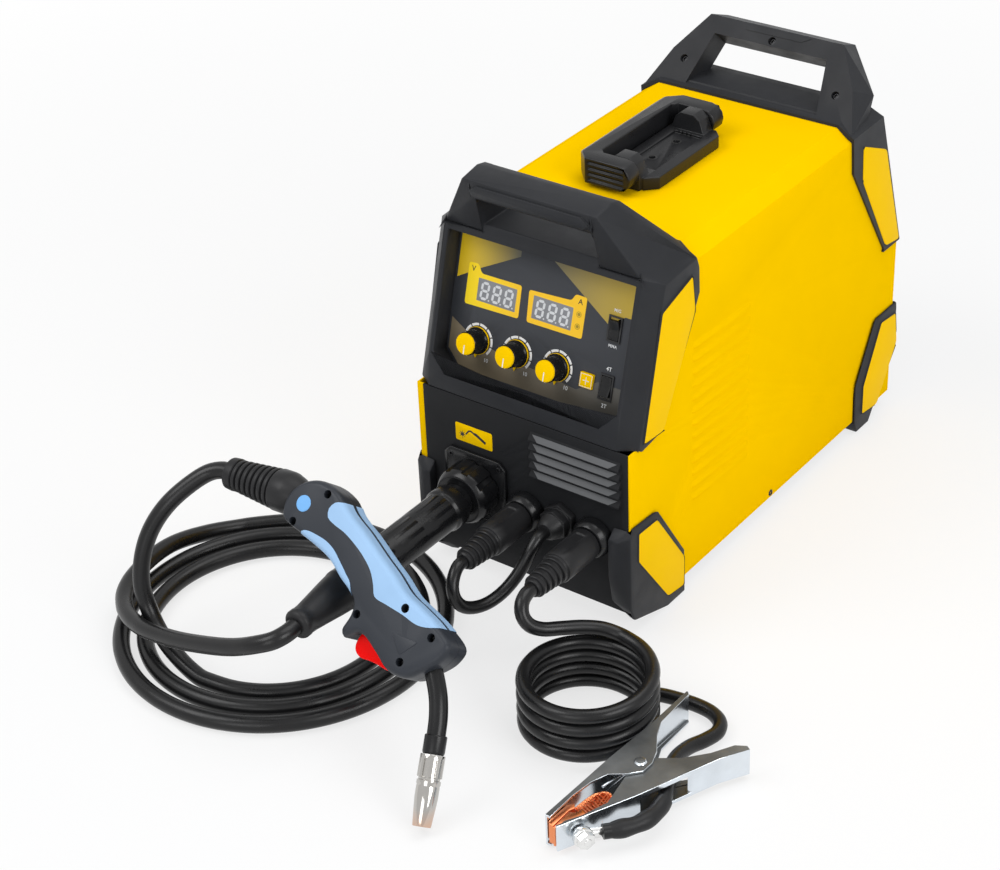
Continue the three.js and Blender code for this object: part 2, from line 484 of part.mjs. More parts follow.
const REAR_FOOT = [
  [0, 2, 104], [0, -38, 104], [0, -68, 52], [0, -67, 11], [0, -62, 0], [0, -41, 0], [0, -35, 9], [0, 3, 60],
  [0, 3, 98], [7.4, 8, 100], [7.4, 8, 60], [18.4, 2, 104], [18.4, 8, 100], [18.4, 8, 60], [18.4, -35, 9],
  [18.4, -41, 0], [18.4, -62, 0],
].map(([inwards, y, z]) => [outside - inwards, behind(y), z]);
SIDES.forEach((side) => {
  const name = side < 0 ? 'left' : 'right';
  node('front_foot_' + name, foot(FRONT_FOOT, FRONT_FOOT_INSERT, side), BLACK);
  node('rear_foot_' + name, foot(REAR_FOOT, REAR_FOOT_INSERT, side), BLACK);
});

// ---------------------------------------------------------------- control panel (in the face's own place)
const sheetTop = -RECESS.depth - GAP;           // the printed sheet's outer surface, z of the face group
const sheetBack = sheetTop - PANEL_SHEET;

function displayPanel() {
  const plate = prism('z', inset(RECESS_OUTLINE, -RECESS.wall + GAP), sheetBack, sheetTop);
  const windows = METER.x.map((x) => prism('z', rectangle(x, METER.v, METER.wide, METER.high), -40, 0));
  const shafts = KNOB.x.map((x) => rod(KNOB.shaft + 0.5, [x, KNOB.v, -40], [x, KNOB.v, 0], 10));
  const rockers = [FRONT_ROCKERS.process, FRONT_ROCKERS.mode].map((v) =>
    prism('z', rectangle(FRONT_ROCKERS.x, v, ROCKER.frameWide - 1, 2 * ROCKER.frameHalf - 1), -40, 0));
  const button = prism('z', rectangle(BUTTON.x, BUTTON.v, BUTTON.side + 2 * GAP, BUTTON.side + 2 * GAP), -40, 0);
  return cut(plate, windows, shafts, rockers, button);
}
node('display_panel', displayPanel(), PRINT, face);

function knob(x) {
  const lift = sheetTop + KNOB.lift;
  const dial = turned([[0, 0], [KNOB.base, 0], [KNOB.base - 0.6, KNOB.skirt], [KNOB.cap + 0.3, KNOB.skirt + 1.4],
    [KNOB.cap, KNOB.high - 1], [KNOB.cap - 1, KNOB.high], [0, KNOB.high]], [x, KNOB.v, lift], [0, 0, 1], 18);
  const slot = box(x - 0.6, x + 0.6, KNOB.v, KNOB.v + KNOB.cap + 1, lift + KNOB.high - 0.6, lift + KNOB.high + 1);
  const shaft = rod(KNOB.shaft, [x, KNOB.v, sheetBack + KNOB.shaftEnd], [x, KNOB.v, lift + 1], 8);
  return join(cut(dial, slot), shaft);
}
['knob_voltage', 'knob_current', 'knob_inductance'].forEach((name, i) => node(name, knob(KNOB.x[i]), YELLOW, face));

/** A rocker's section, [along, out], tipped about its pivot; `out` is 0 at its crest. */
function rockerSection(tilt) {
  const section = [[-ROCKER.half, ROCKER.crest], [-1, 0], [1, 0], [ROCKER.half, ROCKER.crest],
    [ROCKER.half - 0.8, -ROCKER.root], [-ROCKER.half + 0.8, -ROCKER.root]];
  const [c, s] = [Math.cos(rad(tilt)), Math.sin(rad(tilt))];
  return section.map(([a, b]) => [a * c - (b + ROCKER.pivot) * s, a * s + (b + ROCKER.pivot) * c - ROCKER.pivot]);
}
const ROCKER_CREST = sheetTop + 1.4;
const paddle = (v, tilt) => prism('x', rockerSection(tilt).map(([a, b]) => [v + a, ROCKER_CREST + b]),
  FRONT_ROCKERS.x - ROCKER.wide / 2, FRONT_ROCKERS.x + ROCKER.wide / 2);
node('process_rocker', paddle(FRONT_ROCKERS.process, ROCKER.tilt), RUBBER, face);
node('trigger_mode_rocker', paddle(FRONT_ROCKERS.mode, -ROCKER.tilt), RUBBER, face);

const button = join(
  prism('z', rectangle(BUTTON.x, BUTTON.v, BUTTON.side, BUTTON.side), sheetBack - GAP, sheetTop + BUTTON.proud),
  prism('z', rectangle(BUTTON.x, BUTTON.v, BUTTON.side + 3, BUTTON.side + 3), sheetBack - 1.6, sheetBack - GAP));
node('wire_feed_button', button, YELLOW, face);

const CONTROL_BOARD = -33;
const POWER_BOARD = { z: 42, x: [DIVIDER.x + 10, inboard(10)], y: [120, behind(-52)] };

/** Control board behind the panel: posts, pots, switch frames, button stem and the two LED modules. */
function controlBoard() {
  const top = CONTROL_BOARD + 1.6;
  const board = prism('z', rectangle(0, 50, 150, 84), CONTROL_BOARD, top);
  const posts = [[-72, 12], [72, 12], [-72, 88], [72, 88]].map(([x, v]) =>
    rod(3, [x, v, top - 0.5], [x, v, sheetBack - GAP], 10));
  const pots = KNOB.x.map((x) => ring(KNOB.shaft + GAP, 8, [x, KNOB.v, top - 0.5], [0, 0, 1], 9, 8));
  const frames = [FRONT_ROCKERS.process, FRONT_ROCKERS.mode].map((v) => {
    const part = (wide, high, from, to) =>
      prism('z', rectangle(FRONT_ROCKERS.x, v, wide, high), from, to);
    const { frameWide: w, frameHalf: half, rim } = ROCKER;
    return cut(join(part(w - 1 - 2 * GAP, 2 * half - 1 - 2 * GAP, top - 0.5, sheetTop + 1),
      part(w, 2 * half, sheetTop + GAP, sheetTop + 1.1)),
    part(w - 2 * rim - 0.6, 2 * half - 2 * rim - 0.4, sheetTop - 8.5, sheetTop + 5));
  });
  const stem = rod(3, [BUTTON.x, BUTTON.v, top - 0.5], [BUTTON.x, BUTTON.v, sheetBack - 3.4], 12);
  const meters = METER.x.flatMap((x) => [
    prism('z', rectangle(x, METER.v, METER.wide - 2 * GAP, METER.high - 2 * GAP), sheetBack - METER.deep, sheetTop - 0.6),
    rod(3, [x, METER.v, top - 0.5], [x, METER.v, sheetBack - METER.deep + 0.5], 10)]);
  return join(board, posts, pots, frames, stem, meters);
}

/** Power board on its posts, with heat sinks, capacitors and transformer. */
function powerBoard() {
  const { z, x: [x0, x1], y: [y0, y1] } = POWER_BOARD;
  const posts = [x0 + 6, x1 - 6].flatMap((x) => [y0 + 6, y1 - 6].map((y) =>
    rod(3.5, [x, y, BODY.bottom + 1.8 + GAP], [x, y, z + 0.5], 10)));
  const sinks = [[x0 + 6, 130], [x1 - 50, 130]].map(([x, y]) => join(
    box(x, x + 44, y, y + 100, z + 1, z + 12), range(6).map((i) =>
      box(x + 2 + i * 7.6, x + 5 + i * 7.6, y, y + 100, z + 10, z + 74))));
  const cans = range(3).map((i) => rod(15, [x0 + 24, 262 + i * 38, z + 1], [x0 + 24, 262 + i * 38, z + 50], 10));
  const core = box(x0 + 56, x1 - 8, 256, 340, z + 1, z + 70);
  return join(box(x0, x1, y0, y1, z, z + 1.8), posts, sinks, cans, core);
}
node('control_board', controlBoard(), BOARD, face);
node('power_board', powerBoard(), BOARD);

// ---------------------------------------------------------------- front sockets and plugs
const out = (y, x, z) => [x, -y, z];            // a point y in front of the panel
const FORWARD = [0, -1, 0];

function euroSocket() {
  const { flange: f, cornerCut: c, screws: s } = EURO;
  const outline = [[-f, -f + c], [-f + c, -f], [f - c, -f], [f, -f + c], [f, f - c], [f - c, f], [-f + c, f],
    [-f, f - c]].map(([x, z]) => [EURO.x + x, EURO.z + z]);
  const plate = prism('y', outline, -EURO.flangeThick - GAP, -GAP);
  const collar = ring(EURO.tube, EURO.collar - GAP, out(EURO.flangeThick, EURO.x, EURO.z), FORWARD, EURO.collarLong);
  const tail = rod(EURO.bore, [EURO.x, 28, EURO.z], out(1, EURO.x, EURO.z));
  const bore = rod(EURO.tube, [EURO.x, 60, EURO.z], out(40, EURO.x, EURO.z), 16);
  const corners = [-1, 1].flatMap((i) => [-1, 1].map((j) =>
    rod(1.5, out(9, EURO.x + s * i, EURO.z + s * j), out(-9, EURO.x + s * i, EURO.z + s * j), 6)));
  return cut(join(plate, collar, tail), bore, corners);
}
node('euro_socket', euroSocket(), BLACK);

const collarEnd = EURO.flangeThick + EURO.collarLong;
function euroNut() {
  const start = EURO.flangeThick + 2 * GAP;
  const long = EURO.nutFront - start;
  const throat = collarEnd + 2;
  const body = turned([[EURO.collar, 0], [EURO.nut - 1.5, 0], [EURO.nut, 2], [EURO.nut, long - 5],
    [EURO.nut - 3, long], [EURO.neck + GAP, long], [EURO.neck + GAP, throat - start],
    [EURO.collar, throat - start], [EURO.collar, 0]], out(start, EURO.x, EURO.z), FORWARD, 20);
  const flutes = range(8).map((i) => {
    const a = rad(i * 45);
    const [x, z] = [EURO.x + (EURO.nut + 1) * Math.cos(a), EURO.z + (EURO.nut + 1) * Math.sin(a)];
    return rod(2.3, out(start - 1, x, z), out(EURO.nutFront - 4, x, z), 5);
  });
  return cut(body, flutes);
}
node('euro_plug_nut', euroNut(), BLACK);

function euroBody() {
  const start = collarEnd + GAP;
  const at = (y) => y - start;
  const profile = [[0, 0], [EURO.collar - 2.5, 0], [EURO.collar - 2.5, 1.4], [EURO.neck, 1.4],
    [EURO.neck, at(EURO.gripStart) - 8], [EURO.grip + 1.6, at(EURO.gripStart) - 6],
    [EURO.grip + 1.6, at(EURO.gripStart) + 6], [EURO.grip, at(EURO.gripStart) + 8],
    [EURO.grip, at(EURO.gripEnd)], [0, at(EURO.gripEnd)]];
  const grip = turned(profile, out(start, EURO.x, EURO.z), FORWARD, 16);
  const pin = rod(EURO.tube - 2 * GAP, out(start + 1, EURO.x, EURO.z), out(2, EURO.x, EURO.z), 12);
  const windows = [60, 96, 132].map((y) => box(EURO.x - 2, EURO.x + 2, -y - 12, -y, EURO.z + EURO.grip - 0.9, 130));
  return cut(join(grip, pin), windows);
}
node('euro_plug_body', euroBody(), BLACK);

const bootLong = EURO.bootEnd - EURO.gripEnd - GAP;
node('euro_plug_boot', turned([[0, 0], [EURO.grip - 0.2, 0], [EURO.grip - 0.8, 14], [EURO.bootTip + 1, bootLong - 9],
  [EURO.bootTip, bootLong - 2], [EURO.bootTip - 1, bootLong], [0, bootLong]],
out(EURO.gripEnd + GAP, EURO.x, EURO.z), FORWARD, 14), RUBBER);

function outputSocket(x) {
  const key = box(x - 2.2, x + 2.2, -DINSE.ringLong - 1, -4, DINSE.z + DINSE.bore - 1, DINSE.z + DINSE.bore + 3);
  const stud = 12;
  const body = turned([[0, 0], [DINSE.bore + 2, 0], [DINSE.bore + 2, stud + GAP], [DINSE.ring, stud + GAP],
    [DINSE.ring, 20], [DINSE.ring - 2.4, stud + DINSE.ringLong], [DINSE.bore, stud + DINSE.ringLong],
    [DINSE.bore, 16], [0, 16]], [x, stud, DINSE.z], FORWARD, 16);
  return cut(body, key);
}
node('positive_socket', outputSocket(DINSE.x[0]), BLACK);
node('negative_socket', outputSocket(DINSE.x[1]), BLACK);

/** A bayonet plug: pin in the socket, body with flats, ribbed sleeve down to the cable. */
function dinsePlug(x, cable) {
  const start = DINSE.ringLong + GAP;
  const long = DINSE.sleeveEnd - start;
  const neck = DINSE.plugEnd - start;
  const pitch = (long - neck - 2) / DINSE.ribs;
  const taper = (t) => DINSE.plug - 1.6 - (DINSE.plug - 1.6 - DINSE.tip) * (t - neck) / (long - neck);
  const ribs = range(DINSE.ribs).flatMap((i) => {
    const t = neck + 1 + i * pitch;
    return [[taper(t), t + pitch * 0.5], [taper(t) - 1.6, t + pitch * 0.8]];
  });
  const profile = [[0, 0], [DINSE.plug - 1, 0], [DINSE.plug, 2], [DINSE.plug, neck - 1],
    [DINSE.plug - 1.6, neck], ...ribs, [cable + 1.4, long], [0, long]];
  const body = turned(profile, out(start, x, DINSE.z), FORWARD, 12);
  const pin = rod(DINSE.bore - 0.6, out(start + 1, x, DINSE.z), out(5, x, DINSE.z), 12);
  const flats = [-1, 1].map((side) => box(x - 20, x + 20, -DINSE.plugEnd + 12, -start - 8,
    Math.min(DINSE.z + side * (DINSE.plug - 1.2), DINSE.z + side * 40),
    Math.max(DINSE.z + side * (DINSE.plug - 1.2), DINSE.z + side * 40)));
  return join(cut(body, flats), pin);
}
node('polarity_plug', dinsePlug(DINSE.x[0], POLARITY_RADIUS), RUBBER);
node('earth_plug', dinsePlug(DINSE.x[1], EARTH_CABLE.radius), RUBBER);

const gland = join(
  rod(GLAND.nut, out(GAP, GLAND.x, GLAND.z), out(6, GLAND.x, GLAND.z), 6),
  rod(12, out(5.5, GLAND.x, GLAND.z), out(8, GLAND.x, GLAND.z), 14),
  rod(13.4, out(7.6, GLAND.x, GLAND.z), out(GLAND.nutLong, GLAND.x, GLAND.z), 6),
  turned([[0, 0], [11, 0], [GLAND.dome, 6], [POLARITY_RADIUS + 1.6, GLAND.end - GLAND.nutLong],
    [0, GLAND.end - GLAND.nutLong]], out(GLAND.nutLong, GLAND.x, GLAND.z), FORWARD, 14),
  rod(7.4, [GLAND.x, 10, GLAND.z], out(1, GLAND.x, GLAND.z), 16));
node('cable_gland', gland, RUBBER);

// ---------------------------------------------------------------- cables
const cableEnd = (y, x, z) => [x, -y - GAP, z];
const POLARITY_ROUTE = [
  cableEnd(DINSE.sleeveEnd, DINSE.x[0], DINSE.z), cableEnd(DINSE.sleeveEnd + 6, DINSE.x[0], DINSE.z),
  ...[[1.5, -100, 83], [4, -106, 76.5], [7, -107.5, 68], [10.5, -104, 60], [14.5, -95, 54.5], [19, -83, 53],
    [23.5, -70, 56.5], [27.5, -58, 64.5], [30.5, -48, 75], [32.5, -39.5, 85.5]].map(([x, y, z]) =>
    [DINSE.x[0] + x, y, z]),
  cableEnd(GLAND.end + 7, GLAND.x, GLAND.z), cableEnd(GLAND.end, GLAND.x, GLAND.z),
];
node('polarity_cable', tube(through(POLARITY_ROUTE), POLARITY_RADIUS, 13, 8), RUBBER);

/** Least distance between stretches of a curve at least `apart` of the way from each other. */
function leastGap(curve, diameter, apart, samples) {
  const points = curve.getSpacedPoints(samples);
  let least = Infinity;
  points.forEach((p, i) => points.slice(i + Math.ceil(apart * samples)).forEach((q) => {
    least = Math.min(least, p.distanceTo(q));
  }));
  return least - diameter;
}

const torchLevel = TORCH_CABLE.radius + TORCH_CABLE.rise;
const torchLoops = new Loops([TORCH_CABLE.x, TORCH_CABLE.y], TORCH_CABLE.from, TORCH_CABLE.to,
  (t) => TORCH_CABLE.outer + (TORCH_CABLE.inner - TORCH_CABLE.outer) * t, () => torchLevel);
const torchTurns = Math.abs(TORCH_CABLE.to - TORCH_CABLE.from) / 360;
node('torch_cable_coil', tube(torchLoops, TORCH_CABLE.radius, Math.round(24 * torchTurns), 6), RUBBER);
console.log('torch coil gap', leastGap(torchLoops, 2 * TORCH_CABLE.radius, 0.6 / torchTurns, 400).toFixed(2),
  'length', torchLoops.getLength().toFixed(0));

const earthTurns = EARTH_CABLE.turns;
const earthFoot = EARTH_CABLE.radius + EARTH_CABLE.rise;
const earthLoops = new Loops([EARTH_CABLE.x, EARTH_CABLE.y], EARTH_CABLE.from, EARTH_CABLE.from - 360 * earthTurns,
  () => EARTH_CABLE.loop, (t) => earthFoot + EARTH_CABLE.pitch * earthTurns * (1 - t));
node('earth_cable_coil', tube(earthLoops, EARTH_CABLE.radius, 24 * earthTurns, 6), RUBBER);
console.log('earth coil gap', leastGap(earthLoops, 2 * EARTH_CABLE.radius, 0.6 / earthTurns, 400).toFixed(2),
  'length', earthLoops.getLength().toFixed(0));

/** A point past an end of a loop curve, `beyond` along its tangent. */
function pastEnd(curve, t, beyond) {
  const way = curve.getTangent(t).multiplyScalar(t ? beyond : -beyond);
  return curve.getPoint(t).add(way).toArray();
}

const TORCH_LEAD = [
  cableEnd(EURO.bootEnd, EURO.x, EURO.z), cableEnd(EURO.bootEnd + 10, EURO.x - 0.2, EURO.z - 0.3),
  cableEnd(EURO.bootEnd + 19, EURO.x - 4.5, EURO.z - 2.4), cableEnd(EURO.bootEnd + 25, EURO.x - 16.5, EURO.z - 7.5),
  [-85, -254, 74], [-121, -252, 60], [-161, -247, 46], [-203, -238, 34.5], [-236, -221, 27.5], [-258, -197, 24.4],
  [-270, -164, 22.6], [-274, -128, 19.8], [-269, -91, 12],
  pastEnd(torchLoops, 0, 10), pastEnd(torchLoops, 0, GAP),
];
node('torch_cable_lead', tube(through(TORCH_LEAD), TORCH_CABLE.radius, 19, 8), RUBBER);

const EARTH_LEAD = [
  cableEnd(DINSE.sleeveEnd, DINSE.x[1], DINSE.z), cableEnd(DINSE.sleeveEnd + 6, DINSE.x[1], DINSE.z),
  ...[[1.5, -101, 83.6], [5.5, -106, 76.5], [11, -105, 69.5], [18, -98.5, 64.6], [27, -87.5, 62.3]].map(([x, y, z]) =>
    [DINSE.x[1] + x, y, z]),
  [109, -75, 60.6], [121, -65.5, 58], pastEnd(earthLoops, 0, 8), pastEnd(earthLoops, 0, GAP),
];
node('earth_cable_lead', tube(through(EARTH_LEAD), EARTH_CABLE.radius, 12, 8), RUBBER);

const CABLE_LUG = [220.6, -214.2, 15];
const EARTH_TAIL = [
  pastEnd(earthLoops, 1, GAP), pastEnd(earthLoops, 1, 10), [164, -55, 6.2], [181, -51, 6.2], [197, -49.5, 6.2],
  [210.5, -51.3, 6.2], [220.6, -57.6, 6.2], [225, -68, 6.4], [223, -82, 7.6], [218.8, -98, 10], [219, -115, 12.8],
  [224, -132, 14.8],
  [232, -148, 15], [238.5, -163, 15], [240.5, -180, 15], [236.5, -194, 15], [228.5, -205.5, 15], CABLE_LUG,
];
node('earth_cable_tail', tube(through(EARTH_TAIL), EARTH_CABLE.radius, 21, 8), RUBBER);

// ---------------------------------------------------------------- torch (in its own place: u, v, n)
const torch = new THREE.Group();
torch.position.set(...TORCH.at);
torch.rotation.x = rad(TORCH.tilt);
machine.add(torch);

const HANDLE = [[-54.7, 49.8], [-44.9, 50], [-30.5, 45.6], [-18.8, 36.3], [0.3, 26.7], [20.1, 15.4], [35.9, 7],
  [52.4, -3.1], [69.2, -8.9], [87.5, -16.1], [103.8, -26.7], [101.3, -38.2], [89.2, -51.4], [77.3, -60.6],
  [61.1, -60.8], [45, -51.5], [30, -43.8], [23.5, -44.5], [15.4, -51], [11.6, -46.5], [14.4, -33.7], [13.4, -25],
  [7, -18.4], [-5.5, -11.4], [-19.6, -2.2], [-37.3, 3.8], [-51.3, 7.2], [-65.4, 10.6], [-73.4, 14.1],
  [-76.4, 25.3], [-73.2, 36.6], [-65, 45.5]];
const CAVITY = [[-66, 36], [-30, 34], [30, 3], [84, -24], [88, -34], [74, -48], [40, -38], [26, -30], [8, -8],
  [-30, 11], [-66, 20]];
const NECK_ROUTE = [[72, -26, 0], [79.5, -35, 0], [86.5, -44, 0], [94.5, -54, 0], [101.8, -65, 0],
  [107.4, -77.5, 0], [111.6, -92, 0]];
const NOZZLE_DIR = [0.228, -0.974, 0];
const along = ([x, y], t) => [x + NOZZLE_DIR[0] * t, y + NOZZLE_DIR[1] * t, 0];
const NECK = { radius: 7, insulator: 8.3, start: [111.1, -90], insulatorLong: 14, tip: 4, tipLong: 58 };
const NOZZLE = { start: 14.3, long: 51.5, outer: 9.2, mouth: 6.8, wall: 1.5, slots: 8 };
const TRIGGER = { pivot: [56, -55], travel: 6, half: 5.2,
  outline: [[22.6, -50.5], [26.6, -40.5], [36, -41], [46, -45], [58, -52.6], [59.6, -59.6], [50, -57], [38.5, -56.4],
    [28.7, -55.8]] };
const BOOT = { start: [-62, 32.9], end: [-142.6, 29.6], spigot: 9, collar: 15, fat: 16.6, tip: 13, ribs: 7 };

function roundedBlock(outline, half, edge, thick) {
  const g = new THREE.ExtrudeGeometry(new THREE.Shape(outline.map(([a, b]) => new THREE.Vector2(a, b))), {
    depth: 2 * (half - thick), bevelThickness: thick, bevelSize: edge, bevelOffset: -edge, bevelSegments: 1,
  });
  return solid(g.translate(0, 0, -half + thick));
}

function swing(outline, [px, py], angle) {
  const [c, s] = [Math.cos(rad(angle)), Math.sin(rad(angle))];
  return outline.map(([x, y]) => [px + (x - px) * c - (y - py) * s, py + (x - px) * s + (y - py) * c]);
}

const LONG_GRIP = [[-26.8, 40.6], [-33, 37.4], [-35, 30.4], [-31, 24.8], [-19.2, 22.1], [-4.6, 17], [11.5, 8.5],
  [25.2, -2.7], [30.8, -14.6], [54.8, -18], [72.3, -20.5], [84, -17.5], [68.2, -12], [50.8, -6.3], [34.4, 3.8],
  [18.6, 12.2], [-1.2, 23.5], [-20.5, 35.8]];
const SHORT_GRIP = [[-50.9, 10.4], [-46.4, 11.4], [-27.6, 10.2], [-17.7, 6.5], [5.6, -11.6], [6.4, -14], [-3.8, -8],
  [-18.4, 1.2], [-36.4, 7]];
const GRIP = { sink: 1, proud: 0.6, dot: [-57.9, 29.4], dotRadius: 6.5 };

const bootAxis = [BOOT.end[0] - BOOT.start[0], BOOT.end[1] - BOOT.start[1], 0];
const bootSize = Math.hypot(bootAxis[0], bootAxis[1]);
const handleScrews = [[-40.3, 42.4], [-61.8, 14], [21, -31.4], [58.7, -13.6], [87.7, -26], [70, -51]];
function handleHalf(side) {
  const whole = roundedBlock(HANDLE, TORCH.half, TORCH.edge, 5);
  const far = side * (TORCH.half + 2);
  const keep = box(-200, 200, -200, 200, Math.min(side * GAP / 2, far), Math.max(side * GAP / 2, far));
  const hollow = prism('z', CAVITY, -TORCH.cavity, TORCH.cavity);
  const neck = solid(tube(through(NECK_ROUTE), NECK.radius + 2 * GAP, 9, 10));
  const spigot = rod(BOOT.spigot + GAP, [...BOOT.start, 0], [-100, 31.5, 0], 14);
  const swept = [...inset(TRIGGER.outline, -0.7), ...swing(inset(TRIGGER.outline, -0.7), TRIGGER.pivot, -TRIGGER.travel)];
  const well = hull(swept.flatMap(([x, y]) => [[x, y, -TRIGGER.half - 0.6], [x, y, TRIGGER.half + 0.6]]));
  const holes = handleScrews.map(([x, y]) => rod(2.6, [x, y, side * (TORCH.half - 6)], [x, y, side * 30], 8));
  const [low, high] = [side * (TORCH.half - GRIP.sink), side * (TORCH.half + GRIP.proud)];
  const [from, to] = [Math.min(low, high), Math.max(low, high)];
  const pads = [prism('z', LONG_GRIP, from, to), prism('z', SHORT_GRIP, from, to),
    rod(GRIP.dotRadius, [...GRIP.dot, from], [...GRIP.dot, to], 16)];
  return cut(join(whole.intersect(keep), pads), hollow, neck, spigot, well, holes);
}
node('torch_shell_left', handleHalf(1), SLATE, torch);
node('torch_shell_right', handleHalf(-1), SLATE, torch);

node('torch_trigger', prism('z', TRIGGER.outline, -TRIGGER.half, TRIGGER.half), RED, torch);

const bootRibs = range(BOOT.ribs).flatMap((i) => {
  const t = 36 + i * 5.6;
  const r = BOOT.fat - 0.6 - (BOOT.fat - BOOT.tip - 0.4) * (i / (BOOT.ribs - 1));
  return [[r - 2, t], [r, t + 2.8]];
});
node('torch_boot', turned([[0, 0], [BOOT.spigot, 0], [BOOT.spigot, 15.4], [BOOT.collar, 15.4], [BOOT.fat, 21],
  [BOOT.fat, 32.5], ...bootRibs, [BOOT.tip, bootSize - 3], [BOOT.tip - 1.2, bootSize], [0, bootSize]],
[...BOOT.start, 0], bootAxis, 12), RUBBER, torch);

const neckTube = solid(tube(through(NECK_ROUTE), NECK.radius, 9, 10));
const insulator = rod(NECK.insulator, along(NECK.start, 0), along(NECK.start, NECK.insulatorLong), 16);
const tip = turned([[0, 0], [NECK.tip, 0], [NECK.tip, NECK.tipLong - 6], [2, NECK.tipLong], [0, NECK.tipLong]],
  along(NECK.start, 2), NOZZLE_DIR, 12);
node('swan_neck', join(neckTube, insulator, tip), BLACK, torch);

const nozzleProfile = [[NOZZLE.outer - NOZZLE.wall, 0], [NOZZLE.outer, 0], [NOZZLE.outer, 12], [NOZZLE.outer - 0.6, 13],
  [NOZZLE.outer - 0.6, NOZZLE.long - 21], [NOZZLE.mouth, NOZZLE.long], [NOZZLE.mouth - NOZZLE.wall, NOZZLE.long],
  [NOZZLE.outer - 0.6 - NOZZLE.wall, NOZZLE.long - 21], [NOZZLE.outer - NOZZLE.wall, 12],
  [NOZZLE.outer - NOZZLE.wall, 0]];
const nozzleStart = along(NECK.start, NOZZLE.start);
const nozzleTube = turned(nozzleProfile, nozzleStart, NOZZLE_DIR, 16);
const sideways = V(...NOZZLE_DIR).cross(V(0, 0, 1));
const nozzleSlots = range(NOZZLE.slots).map((i) => {
  const a = (i / NOZZLE.slots) * 2 * Math.PI;
  const outwards = sideways.clone().multiplyScalar(Math.cos(a)).add(V(0, 0, Math.sin(a)));
  const at = (t) => V(...along(NECK.start, NOZZLE.start + t)).addScaledVector(outwards, NOZZLE.outer + 0.5).toArray();
  return rod(1.1, at(3), at(26), 6);
});
node('gas_nozzle', cut(nozzleTube, nozzleSlots), NICKEL, torch);

const bootTip = V(...BOOT.end, 0).applyEuler(torch.rotation).add(torch.position);
const bootOut = V(...bootAxis).normalize().applyEuler(torch.rotation);
const pastBoot = (t) => bootTip.clone().addScaledVector(bootOut, t).toArray();
const TORCH_TAIL = [
  pastBoot(GAP), pastBoot(8), [-183, -161, 143.5], [-194, -172.5, 135], [-206, -188.5, 120], [-215, -201, 100],
  [-218, -211, 78], [-216, -217.5, 56], [-210, -219.5, 39], [-200, -223, 27], [-184, -228.5, 18.5],
  [-168, -232.5, 13], [-154, -235, 9.4], pastEnd(torchLoops, 1, 8), pastEnd(torchLoops, 1, GAP),
];
node('torch_cable_tail', tube(through(TORCH_TAIL), TORCH_CABLE.radius, 16, 8), RUBBER);

// ---------------------------------------------------------------- earth clamp, lying on its side
const OUTER_SPINE = [[186, -235], [189.5, -159], [193.5, -109], [195, -64]];
const OUTER_PLATE = [[186, -235], [189.5, -159], [193.5, -109], [195, -64], [198.5, -66], [199, -105], [204, -118],
  [214, -134], [218.5, -147], [218, -158], [210, -167], [199, -175], [193.5, -189], [190.8, -207], [190.5, -235]];
const INNER_SPINE = [[199, -239], [228, -179], [244, -140], [255, -114], [268, -93]];
const INNER_PLATE = [[199, -239], [228, -179], [244, -140], [255, -114], [268, -93], [264, -90.5], [256, -95],
  [246, -112], [232, -128], [215, -139.5], [204.5, -144], [203.5, -156], [209, -167], [214, -198], [207, -218],
  [199.5, -231]];

/** A bent channel: two side plates and the web along their outer edge. */
function channel(plate, spine, low, high, inward) {
  const web = [...spine, ...spine.map(([x, y], i) => {
    const [p, q] = [spine[Math.max(i - 1, 0)], spine[Math.min(i + 1, spine.length - 1)]];
    const long = Math.hypot(q[0] - p[0], q[1] - p[1]);
    return [x + inward * CLAMP.sheet * (q[1] - p[1]) / long, y - inward * CLAMP.sheet * (q[0] - p[0]) / long];
  }).reverse()];
  return join(prism('z', plate, low, low + CLAMP.sheet), prism('z', plate, high - CLAMP.sheet, high),
    prism('z', web, low, high));
}
const rivetHole = rod(CLAMP.rivet + GAP, [...CLAMP.pivot, -5], [...CLAMP.pivot, 50], 12);
node('clamp_upper_jaw', cut(channel(OUTER_PLATE, OUTER_SPINE, CLAMP.low, CLAMP.high, 1), rivetHole), STEEL);
/** The rivet is fast in the inner channel; the outer channel turns on it. */
const rivet = () => join(rod(CLAMP.rivet, [...CLAMP.pivot, 0.5], [...CLAMP.pivot, CLAMP.high + 1]),
  rod(5, [...CLAMP.pivot, 0.2], [...CLAMP.pivot, CLAMP.low - GAP], 12),
  turned([[0, 0], [5, 0], [4, 1.4], [0, 1.8]], [...CLAMP.pivot, CLAMP.high + GAP], [0, 0, 1], 12));
const nested = CLAMP.sheet + GAP;
const cableSlot = hull([[222, -150, 7], [246, -136, 7], [252, -166, 7], [228, -178, 7]].flatMap(([x, y, z]) =>
  [[x, y, z], [x, y, z + 16]]));
const BOLT = { web: 0.42, radius: 3, head: 7, z: 15 };
const boltFoot = [206.5, -223.5];
const boltOut = [0.9, -0.435, 0];
const boltAt = (t) => [boltFoot[0] + boltOut[0] * t, boltFoot[1] + boltOut[1] * t, BOLT.z];
node('clamp_lower_jaw', cut(channel(INNER_PLATE, INNER_SPINE, CLAMP.low + nested, CLAMP.high - nested, -1),
  cableSlot, rod(BOLT.radius + GAP, boltAt(-8), boltAt(8), 12)).add(rivet()), STEEL);

const lugEnd = V(...CABLE_LUG).add(V(...boltAt(5.4)).sub(V(...CABLE_LUG)).setLength(GAP)).toArray();
node('clamp_bolt', join(rod(BOLT.radius, boltAt(-2.6), boltAt(14), 10), rod(6, boltAt(1.6), boltAt(3), 12),
  rod(BOLT.head, boltAt(8), boltAt(13), 6), rod(8, boltAt(4.4), boltAt(8.4), 12),
  rod(2.4, boltAt(6.4), lugEnd, 8)), NICKEL);

